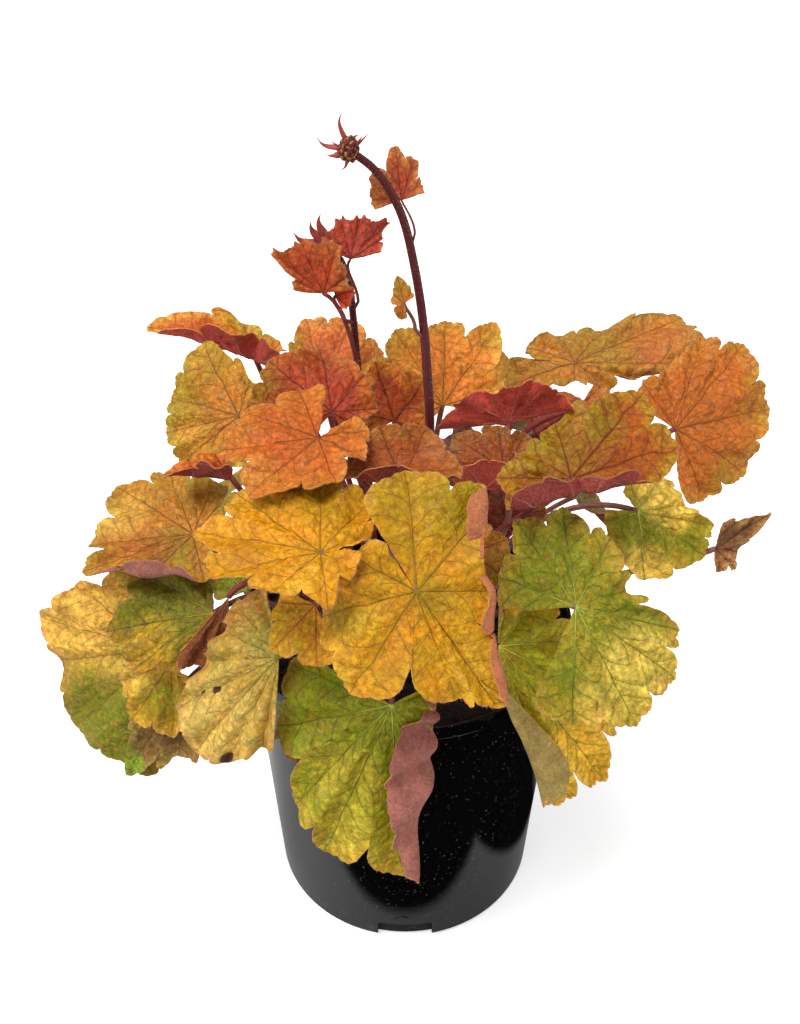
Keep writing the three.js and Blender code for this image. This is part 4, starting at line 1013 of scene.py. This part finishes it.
def make_blade(leaf, shape, face, under):
    """The blade, which is a grid of spokes and rings laid out as the leaf, and the hairs on its rim."""
    end = len(leaf["marks"]) - 1
    rings = int(min(max(leaf["length"] * MM / shape.grain, FEWEST_RINGS), MOST_RINGS))
    bm = bmesh.new()
    maps = maps_of(bm)
    way = bm.verts.layers.float_vector.new("way")
    bmesh.ops.create_grid(bm, x_segments=shape.spokes * end, y_segments=rings, size=0.5)
    grid = np.array([v.co for v in bm.verts]) + 0.5
    mark = grid[:, 0] * end
    part = ring_parts(leaf, mark, grid[:, 1])
    turn, reach = rim_at(leaf, mark)
    flat = np.stack([part * reach * np.cos(turn), part * reach * np.sin(turn)], 1)
    # small scallops on the teeth, near the rim alone
    crest = 1 - np.abs(np.sin(4.5 * np.pi * mark)) ** 0.6
    depth = leaf["scallop"] * (0.6 + 0.8 * scattered(leaf["seed"], 400)[(mark * 3).astype(int)])
    middle = blade_points(leaf, mark, part * (1 - depth * crest * part**10))
    normal = blade_faces(leaf, mark, part)
    middle += normal * fine_relief(leaf, mark, part, turn, flat, shape)[:, None]
    basis = blade_place(leaf)
    points = (middle @ basis + np.array(leaf["hub"])) * MM
    ways = normal @ basis
    gap = (1 - part) * reach
    half = (shape.edge + (shape.thickness - shape.edge) * np.clip(gap / 6, 0, 1)) / 2
    paint = painted(leaf, flat)
    for i, v in enumerate(bm.verts):
        v[maps["rim_gap"]] = gap[i]
        v[maps["paint"]] = paint[i]
        v[maps["tint"]] = (*leaf["tint"], 1)
        v[way] = ways[i] * half[i]
        v.co = points[i]
    shift = leaf["seed"] * 17.0
    for f in bm.faces:
        for loop in f.loops:
            i = loop.vert.index
            loop[maps["spokes"]].uv = (mark[i], part[i] * reach[i] / 10)
            loop[maps["flat"]].uv = (flat[i, 0] / 10 + shift, flat[i, 1] / 10)
    bmesh.ops.remove_doubles(bm, verts=[v for v in bm.verts if part[v.index] < 1e-6], dist=5 * MM)
    thicken(bm, way)
    blade = piece_from(bm, "blade", [face, under])
    blade.data.set_sharp_from_angle(angle=math.radians(60))
    rim = part > 0.999
    return [blade, rim_hairs(leaf, shape, mark[rim], points[rim], ways[rim])]


def bezier(points, t):
    a, b, c, d = points
    s = 1 - t
    return s * s * s * a + 3 * s * s * t * b + 3 * s * t * t * c + t * t * t * d


def stalk_line(leaf):
    """The stalk: upright out of the soil, then over and up into the hub from behind and below the blade."""
    hub = Vector(leaf["hub"])
    inside = []
    if leaf["branch"]:
        foot = Vector(leaf["branch"])
        below = foot - Vector((0, 0, 5))
        stems = [point for stem in FLOWER_STEMS for point in stem_line(stem)]
        inside = [min(stems, key=lambda point: (point - below).length)]
    else:
        ring, bearing = leaf["root"]
        foot = on_circle(RINGS[ring], bearing, SOIL_TOP - FOOT_DEPTH)
    midrib, _, face = (Vector(axis) for axis in blade_place(leaf))
    slope = math.radians(leaf["slope"])
    arrive = midrib * math.cos(slope) + face * math.sin(slope)
    far = (hub - foot).length
    corners = (foot, foot + Vector((0, 0, STALK_RISE * far)), hub - arrive * leaf["reach"] * far, hub)
    steps = STALK_STEPS - len(inside)
    return inside + [bezier(corners, i / steps) for i in range(steps + 1)]


def hairs_along(line, radii, count, key, size, skip=0.0):
    """Roots for hairs that stand out all round a tube."""
    roots = []
    for along, turn, lean, long in scattered(key, count * 4).reshape(-1, 4):
        at = (skip + (1 - skip) * along) * (len(line) - 1)
        i = min(int(at), len(line) - 2)
        a, b = Vector(line[i]), Vector(line[i + 1])
        tangent = (b - a).normalized()
        across = tangent.orthogonal().normalized()
        out = Matrix.Rotation(2 * math.pi * turn, 3, tangent) @ across
        point = a.lerp(b, at - i) + out * radii[i] * 0.85
        roots.append((point, out + tangent * (lean - 0.4) * 0.8, size * (0.5 + 0.9 * long)))
    return roots


def make_leaf(leaf, prefix, seed, shape, colours):
    """One leaf with its stalk, in place of its plain node."""
    tone = leaf["tone"]
    defaults = {key: getattr(shape, key) for key in ("cut", "tooth", "scallop", "ruffle", "pleat")}
    defaults |= dict(heel=24, slope=50, reach=0.36, bends=[], paint=[], branch=None, stout=1, tint=(1, 1, 1),
                     phase=1.7 * seed, under=TONES[tone].under)
    leaf = {**defaults, **leaf, "seed": seed + (BRACT_SEEDS if prefix == "bract" else 0)}
    leaf["marks"] = rim_marks(leaf)
    parts = make_blade(leaf, shape, leaf_face_material(tone), leaf_under_material(leaf["under"]))
    if tone in YOUNG_TONES:
        skin = stalk_material("stalk_red", colours.stalk_red, colours.under_red)
    else:
        skin = stalk_material("stalk_brown", colours.stalk, colours.under_pink)
    line = stalk_line(leaf)
    thick = (shape.twig if leaf["branch"] else shape.stalk) / MM * leaf["stout"]
    radii = [thick * (1.04 - 0.22 * i / STALK_STEPS) for i in range(STALK_STEPS + 1)]
    parts.append(tube("stalk", line, radii, 8, skin))
    count = 60 if leaf["branch"] else 110
    roots = hairs_along(line, radii, count, leaf["seed"] + 900, shape.hair / MM, 0.35)
    parts.append(hairs("stalk_hair", roots))
    node = f"{prefix}_{leaf['name']}"
    on_plant(joined(node + "_fine", parts), "leaf_" + tone, node)


class HEUCHERA_OT_leaves(bpy.types.Operator):
    """Makes every leaf with its stalk"""

    bl_idname = "heuchera.leaves"
    bl_label = "Leaves"

    def execute(self, context):
        for seed, leaf in enumerate(LEAVES):
            make_leaf(leaf, "leaf", seed, context.scene.heuchera_leaf, context.scene.heuchera_colours)
        return {"FINISHED"}


class HEUCHERA_OT_bracts(bpy.types.Operator):
    """Makes the small leaves on the flower stems"""

    bl_idname = "heuchera.bracts"
    bl_label = "Bracts"

    def execute(self, context):
        for seed, leaf in enumerate(BRACTS):
            make_leaf(leaf, "bract", seed, context.scene.heuchera_leaf, context.scene.heuchera_colours)
        return {"FINISHED"}


# ---------------------------------------------------------------- flower stems


def catmull(points, steps):
    """A smooth line through the points, as evenly timed centripetal Catmull-Rom spans."""
    points = [Vector(p) for p in points]
    ends = [points[0] * 2 - points[1], *points, points[-1] * 2 - points[-2]]
    line = []
    spans = len(points) - 1
    for k in range(steps + 1):
        at = k / steps * spans
        i = min(int(at), spans - 1)
        t = at - i
        p0, p1, p2, p3 = ends[i : i + 4]
        d0, d1, d2 = (max((b - a).length ** 0.5, 1e-4) for a, b in ((p0, p1), (p1, p2), (p2, p3)))
        m1 = (p1 - p0) / d0 - (p2 - p0) / (d0 + d1) + (p2 - p1) / d1
        m2 = (p2 - p1) / d1 - (p3 - p1) / (d1 + d2) + (p3 - p2) / d2
        m1, m2 = m1 * d1, m2 * d1
        line.append((2 * t**3 - 3 * t**2 + 1) * p1 + (t**3 - 2 * t**2 + t) * m1
                    + (-2 * t**3 + 3 * t**2) * p2 + (t**3 - t**2) * m2)
    return line


def stem_line(stem):
    """The middle of a flower stem, from its foot in the soil to its bud cluster."""
    ring, bearing = stem["root"]
    foot = on_circle(RINGS[ring], bearing, SOIL_TOP - FOOT_DEPTH)
    return catmull([foot, foot + Vector((0, 0, FOOT_DEPTH + 30)), *stem["line"]], STEM_STEPS)


def bud_grains(centre, radius, count, key, material):
    """Small closed buds packed into a ball."""
    bm = bmesh.new()
    maps_of(bm)
    for k in range(count):
        high = 1 - 2 * (k + 0.5) / count
        turn = k * GOLDEN_ANGLE
        flat = math.sqrt(1 - high * high)
        way = Vector((math.cos(turn) * flat, math.sin(turn) * flat, high * 1.2))
        size = radius * (0.17 + 0.16 * scattered(key + k, 1)[0])
        place = Matrix.Translation((centre + way * radius * 0.66) * MM)
        long = Matrix.Diagonal((1, 1, 1.4, 1))
        bmesh.ops.create_icosphere(bm, subdivisions=2, radius=size * MM, matrix=place @ long)
    return piece_from(bm, "grains", [material])


def bud_scales(stem, end, key, material):
    """The hooked scales round the buds, and the roots of their hairs."""
    scales, roots = [], []
    for i, spike in enumerate(stem["spikes"]):
        tip = Vector(spike)
        hook = tip.cross(Vector((0, 1, 0.2))).normalized() * tip.length * 0.4
        line = [end + tip * t + hook * (t * t * (1 - t) * 3.6) for t in (k / 14 for k in range(15))]
        swell = [math.sin(math.pi * min(0.32 + 0.72 * k / 14, 1)) ** 1.1 for k in range(15)]
        radii = [max(stem["broad"] * wide, 0.1) for wide in swell]
        scales.append(tube("scale", line, radii, 8, material, 0.4))
        roots += hairs_along(line, radii, 46, key * 10 + i + 70, 1.2)
    return scales, roots


def sepals(stem, end, key, material):
    """Short pointed sepals that stand out between the buds."""
    made = []
    radii = [0.65 * math.cos(1.45 * i / 8) + 0.05 for i in range(9)]
    for turn, rise, long in scattered(key + 60, 27).reshape(-1, 3):
        way = Vector((math.cos(TURN * turn), math.sin(TURN * turn), 1.6 * rise - 0.9)).normalized()
        reach = stem["bud"] * (0.7 + 0.7 * long)
        line = [end + way * (stem["bud"] * 0.5 + t * reach) + Vector((0, 0, 1.6 * t * t))
                for t in (i / 8 for i in range(9))]
        made.append(tube("sepal", line, radii, 6, material, 0.5))
    return made


class HEUCHERA_OT_flower_stems(bpy.types.Operator):
    """Makes the two young flower stems with their hairs, bud clusters and pointed scales"""

    bl_idname = "heuchera.flower_stems"
    bl_label = "Flower stems"

    def execute(self, context):
        colours = context.scene.heuchera_colours
        skin = stalk_material("flower_stem_skin", colours.stem, tuple(1.5 * c for c in colours.stem), 0.45)
        scale_skin = stalk_material("bud_scale", colours.scale, colours.under_red, 0.5)
        grain_skin = bud_material(colours)
        for key, stem in enumerate(FLOWER_STEMS):
            line = stem_line(stem)
            radii = [stem["radius"] * (1.06 - 0.3 * (i / STEM_STEPS) ** 2) for i in range(STEM_STEPS + 1)]
            end, aside = line[-1], Vector((4, 0, 0))
            scales, roots = bud_scales(stem, end, key, scale_skin)
            roots += hairs_along([end - aside, end, end + aside], [stem["bud"]] * 3, 70, key + 90, 1.0)
            parts = [tube("stem", line, radii, 12, skin),
                     hairs("stem_hair", hairs_along(line, radii, 620, key + 40, 1.5, 0.3)),
                     bud_grains(end, stem["bud"], 44, key * 50 + 7, grain_skin),
                     *scales, *sepals(stem, end, key, scale_skin), hairs("scale_hair", roots)]
            node = "flower_stem_" + stem["name"]
            on_plant(joined(node + "_fine", parts), "flower_stem", node)
        return {"FINISHED"}


# ---------------------------------------------------------------- pot, soil and crown


def spun(name, profile, segments, material):
    """A closed solid of revolution from a profile that starts and ends on the axis, in metres."""
    bm = bmesh.new()
    points = [bm.verts.new((radius, 0, height)) for radius, height in profile]
    edges = [bm.edges.new(pair) for pair in zip(points, points[1:])]
    bmesh.ops.spin(bm, geom=points + edges, axis=(0, 0, 1), cent=(0, 0, 0), angle=2 * math.pi, steps=segments,
                   use_merge=True, use_duplicate=False)
    bmesh.ops.remove_doubles(bm, verts=bm.verts, dist=1e-6)
    bmesh.ops.recalc_face_normals(bm, faces=bm.faces)
    return piece_from(bm, name, [material])


def rounded(profile, corners, steps=4):
    """The profile with the named corners rounded; corners maps an index to a radius."""
    result = []
    for i, point in enumerate(profile):
        if i not in corners:
            result.append(point)
            continue
        here = Vector(point)
        before, after = (Vector(profile[i - 1]) - here), (Vector(profile[i + 1]) - here)
        cut = min(corners[i], before.length / 2.1, after.length / 2.1)
        a, b = here + before.normalized() * cut, here + after.normalized() * cut
        for k in range(steps + 1):
            t = k / steps
            result.append(tuple(a * (1 - t) ** 2 + here * 2 * t * (1 - t) + b * t * t))
    return result


def pot_profile(p):
    """Half a section of the pot: out along the floor, up the wall, round the lip and down inside."""
    shelf = p.height - p.lip_height
    chamfer = 2 * MM
    profile = [(0, 0), (p.foot - chamfer, 0), (p.foot, chamfer), (p.top, shelf - chamfer), (p.lip, shelf),
               (p.lip, p.height), (p.lip - p.wall, p.height), (p.top - p.wall, shelf - chamfer),
               (p.foot - p.wall, p.base), (0, p.base)]
    radii = (0.8, 0.8, 1.2, 1.5, 0.7, 0.7, 2, 1)
    profile = rounded(profile, {i: radius * MM for i, radius in enumerate(radii, 1)})
    # rings up the wall keep its shading true
    rise = (p.top - p.foot) / (shelf - 2 * chamfer)
    rings = [(p.foot + rise * z, chamfer + z)
             for z in (MM, 2 * MM, 10 * MM, 40 * MM, 80 * MM, 120 * MM, shelf - 8 * MM, shelf - 6 * MM)]
    high = next(i for i, point in enumerate(profile) if point[1] > p.height / 2)
    return profile[:high] + rings + profile[high:]


def cut_drains(pot, p):
    """Cuts the four notches and the four holes."""
    bm = bmesh.new()
    for i in range(4):
        turn = Matrix.Rotation(math.pi / 2 * i, 4, "Z")
        block = Matrix.Diagonal((2 * p.notch_depth, p.notch_width, 2 * p.notch_height, 1))
        made = bmesh.ops.create_cube(bm, size=1, matrix=turn @ Matrix.Translation((p.foot, 0, 0)) @ block)
        edges = {e for v in made["verts"] for e in v.link_edges}
        top = [e for e in edges if all(abs(v.co.z - p.notch_height) < 1e-6 for v in e.verts)]
        bmesh.ops.bevel(bm, geom=top, offset=1.2 * MM, segments=3, profile=0.5, affect="EDGES", material=-1)
        place = Matrix.Rotation(math.pi / 2 * (i + 0.5), 4, "Z") @ Matrix.Translation((p.drain_circle, 0, MM))
        bmesh.ops.create_cone(bm, cap_ends=True, segments=40, radius1=p.drain_radius, radius2=p.drain_radius,
                              depth=6 * MM, matrix=place)
    cutter = piece_from(bm, "pot_cutter", [])
    cut = pot.modifiers.new("drain_cuts", "BOOLEAN")
    cut.operation, cut.object, cut.solver = "DIFFERENCE", cutter, "EXACT"
    with bpy.context.temp_override(object=pot, active_object=pot):
        bpy.ops.object.modifier_apply(modifier=cut.name)
    bpy.data.objects.remove(cutter)
    pot.data.set_sharp_from_angle(angle=math.radians(35))


def moulded_arch(p, material):
    """The small raised arch over the notch in front."""
    line = []
    for k in range(13):
        angle = math.pi * k / 12
        across, high = -1.2 - 4 * math.cos(angle), p.notch_height / MM + 4 + 3 * math.sin(angle)
        radius = (p.foot + (p.top - p.foot) * high * MM / p.height) / MM
        line.append((across, -math.sqrt(radius**2 - across**2), high))
    return tube("arch", line, [0.35] * 13, 8, material)


class HEUCHERA_OT_pot(bpy.types.Operator):
    """Makes the black nursery pot with its lip, drain notches and drain holes"""

    bl_idname = "heuchera.pot"
    bl_label = "Pot"

    def execute(self, context):
        p = context.scene.heuchera_pot
        plastic = pot_material()
        pot = spun("pot_fine", pot_profile(p), p.segments, plastic)
        cut_drains(pot, p)
        on_plant(joined("pot_fine", [pot, moulded_arch(p, plastic)]), "pot_black", "pot")
        return {"FINISHED"}


def mound(part):
    """Height of the soil over its edge, in metres; part runs from 0 in the middle to 1 at the edge."""
    return MOUND * MM * min((1 - part) * 1.4, 1)


def crumbs(edge):
    """Loose crumbs and bits of bark strewn over the soil."""
    bm = bmesh.new()
    for radial, turn, size, flat, tilt, deep in scattered(31, 520 * 6).reshape(-1, 6):
        radius = math.sqrt(radial) * (edge - 3 * MM)
        size = (0.7 + 1.7 * size * size) * MM
        height = SOIL_TOP * MM + mound(radius / edge) + (0.2 + 0.6 * deep) * size - 0.6 * MM
        place = Matrix.Translation((radius * math.cos(turn * TURN), radius * math.sin(turn * TURN), height))
        place = place @ Matrix.Rotation(tilt * TURN, 4, (flat, tilt, 1))
        shape = Matrix.Diagonal((1.3, 0.8, 0.4 + 0.5 * flat, 1))
        bmesh.ops.create_icosphere(bm, subdivisions=1, radius=size, matrix=place @ shape)
    piece = piece_from(bm, "crumbs", [soil_material("soil_crumbs", 1.4)])
    for face in piece.data.polygons:
        face.use_smooth = False
    return piece


class HEUCHERA_OT_soil(bpy.types.Operator):
    """Makes the mounded potting soil with crumbs and bits of bark"""

    bl_idname = "heuchera.soil"
    bl_label = "Soil"

    def execute(self, context):
        p = context.scene.heuchera_pot

        def inside(height):
            return (p.foot + (p.top - p.foot) * height / p.height) - p.wall - 0.6 * MM

        top, bottom = SOIL_TOP * MM, p.base + 0.4 * MM
        edge = inside(top)
        profile = [(0, bottom), (inside(bottom), bottom), (inside(top * 0.5), top * 0.5), (edge, top)]
        profile += [(edge * part, top + mound(part)) for part in (1 - k / 24 for k in range(1, 25))]
        soil = spun("soil_fine", profile, 96, soil_material("potting_soil", 0.9))
        for v in soil.data.vertices:
            if v.co.z > top - MM and v.co.xy.length < edge - MM:
                lump = noise.noise(v.co * 90) * 1.8 + noise.noise(v.co * 260) * 1.1
                v.co.z += (lump - 0.6) * MM
        on_plant(joined("soil_fine", [soil, crumbs(edge)]), "potting_soil", "soil")
        return {"FINISHED"}


class HEUCHERA_OT_crown(bpy.types.Operator):
    """Makes the woody crown with the bases of old leaves"""

    bl_idname = "heuchera.crown"
    bl_label = "Crown"

    def execute(self, context):
        section = [(0, -6), (8, -6), (8, 0), (8.1, 3), (7.8, 7), (7, 10), (5.4, 13), (2.5, 14.6), (0, 15)]
        profile = [(radius * MM, (SOIL_TOP + MOUND + height) * MM) for radius, height in section]
        bark = crown_material()
        crown = spun("crown_fine", rounded(profile, {1: MM}, 3), 40, bark)
        for v in crown.data.vertices:
            if v.co.xy.length > MM:
                v.co.xy *= 1 + 0.07 * noise.noise(v.co * 500) - 0.04
        parts = [crown]
        for k in range(9):
            out = Vector((math.cos(k * 2.4), math.sin(k * 2.4), 0))
            foot = out * 5.5 + Vector((0, 0, SOIL_TOP + 7 + (k % 4) * 2.4))
            line = [foot + out * (3.4 * t) + Vector((0, 0, 5.5 * t * t)) for t in (i / 6 for i in range(7))]
            parts.append(tube("stub", line, [2.2 - 1.3 * i / 6 for i in range(7)], 8, bark, 0.5))
        on_plant(joined("crown_fine", parts), "crown", "crown")
        return {"FINISHED"}


# ---------------------------------------------------------------- stage


def studio_floor(settings, colours):
    """A pale floor that glows a little to the camera, with a painted reflection: dark patches that only
    polished surfaces see, as if dark cloths lay on it.
    """
    bm = bmesh.new()
    bmesh.ops.create_grid(bm, x_segments=1, y_segments=1, size=3.0)
    material, t, surface = new_material("studio_floor")
    place = t.place()
    c = t.mix(t.noise(place, 3.0), colours.floor, colours.floor_shade)
    x, y = t.node("ShaderNodeSeparateXYZ", i0=place).outputs[:2]
    # painted reflection: for glossy rays alone, the floor in front of the pot and beside it turns dark, so
    # the polished pot mirrors dark there
    ahead = t.ramp(y, -0.079, -0.086)
    beside = t.times(t.ramp(x, 0.078, 0.084), t.ramp(y, 0.05, 0.02))
    rays = t.node("ShaderNodeLightPath").outputs
    cloth = t.ramp(t.math("MAXIMUM", ahead, beside), 0.0, 1.0, 0.32, 1.0)
    c = t.mix(t.times(cloth, rays["Is Glossy Ray"]), c, colours.cloth)
    t.feed(surface, Base_Color=c, Emission_Color=(1, 1, 1), Roughness=0.9, Specular_IOR_Level=0.1,
           Emission_Strength=t.ramp(rays["Is Camera Ray"], 0.0, 1.0, 0.0, settings.glow))
    return piece_from(bm, "studio_floor", [material])


def studio_room(settings):
    """Even white light all round, and a white background."""
    world = bpy.data.worlds.new("studio_room")
    world.use_nodes = True
    t = Tree(world.node_tree)
    seen = t.node("ShaderNodeLightPath").outputs["Is Camera Ray"]
    strength = t.ramp(seen, 0.0, 1.0, settings.room, 1.0)
    t.feed(world.node_tree.nodes["Background"], Color=(1, 1, 1), Strength=strength)
    return world


def placed(name, data, where, towards):
    """Puts a lamp or the camera in the scene, turned towards a point."""
    obj = bpy.data.objects.new(name, data)
    obj.location = where
    obj.rotation_euler = (Vector(towards) - Vector(where)).to_track_quat("-Z", "Y").to_euler()
    bpy.context.scene.collection.objects.link(obj)
    return obj


class HEUCHERA_OT_stage(bpy.types.Operator):
    """Makes the pale floor, soft lights and the camera"""

    bl_idname = "heuchera.stage"
    bl_label = "Stage"

    def execute(self, context):
        scene = context.scene
        settings = scene.heuchera_stage
        studio_floor(settings, scene.heuchera_colours)
        scene.world = studio_room(settings)
        sun = bpy.data.lights.new("key_light", "SUN")
        sun.energy, sun.angle = settings.key, math.radians(30)
        placed("key_light", sun, (-0.35, -0.3, 1.0), (0, 0, 0))
        for name, where in (("left_softbox", (-1.3, -0.4, 0.6)), ("right_softbox", (1.3, -0.3, 0.7))):
            lamp = bpy.data.lights.new(name, "AREA")
            lamp.shape, lamp.size, lamp.size_y, lamp.energy = "RECTANGLE", 0.5, 1.0, settings.side
            placed(name, lamp, where, (0, 0, 0.15))
        lens = bpy.data.cameras.new("camera")
        lens.lens, lens.sensor_width, lens.sensor_fit, lens.clip_start = 38.67, 36, "AUTO", 0.02
        scene.camera = placed("camera", lens, (-0.0026, -0.4193, 0.5079), (-0.0026, 0, 0.2229))
        scene.view_settings.view_transform = "Standard"
        return {"FINISHED"}


class HEUCHERA_PT_panel(bpy.types.Panel):
    """Lists the pieces to make, and the sizes and colours that shape them"""

    bl_idname = "HEUCHERA_PT_panel"
    bl_label = "Potted heuchera"
    bl_space_type = "VIEW_3D"
    bl_region_type = "UI"
    bl_category = "Heuchera"

    def draw(self, context):
        for operator in OPERATORS:
            self.layout.operator(operator.bl_idname)
        for name in GROUPS:
            group = getattr(context.scene, name)
            box = self.layout.box()
            for key in group.bl_rna.properties.keys():
                if key not in ("rna_type", "name"):
                    box.prop(group, key)


OPERATORS = (HEUCHERA_OT_pot, HEUCHERA_OT_soil, HEUCHERA_OT_crown, HEUCHERA_OT_leaves,
             HEUCHERA_OT_flower_stems, HEUCHERA_OT_bracts, HEUCHERA_OT_stage)
GROUPS = {"heuchera_leaf": HeucheraLeafShape, "heuchera_pot": HeucheraPotShape,
          "heuchera_stage": HeucheraStage, "heuchera_colours": HeucheraColours}


def register():
    for cls in (*GROUPS.values(), *OPERATORS, HEUCHERA_PT_panel):
        bpy.utils.register_class(cls)
    for name, group in GROUPS.items():
        setattr(bpy.types.Scene, name, PointerProperty(type=group))


def unregister():
    for name in GROUPS:
        delattr(bpy.types.Scene, name)
    for cls in reversed((*GROUPS.values(), *OPERATORS, HEUCHERA_PT_panel)):
        bpy.utils.unregister_class(cls)


def main():
    register()
    bpy.ops.heuchera.stage()
    bpy.ops.heuchera.pot()
    bpy.ops.heuchera.soil()
    bpy.ops.heuchera.crown()
    bpy.ops.heuchera.leaves()
    bpy.ops.heuchera.flower_stems()
    bpy.ops.heuchera.bracts()
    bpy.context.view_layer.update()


if __name__ == "__main__":
    main()
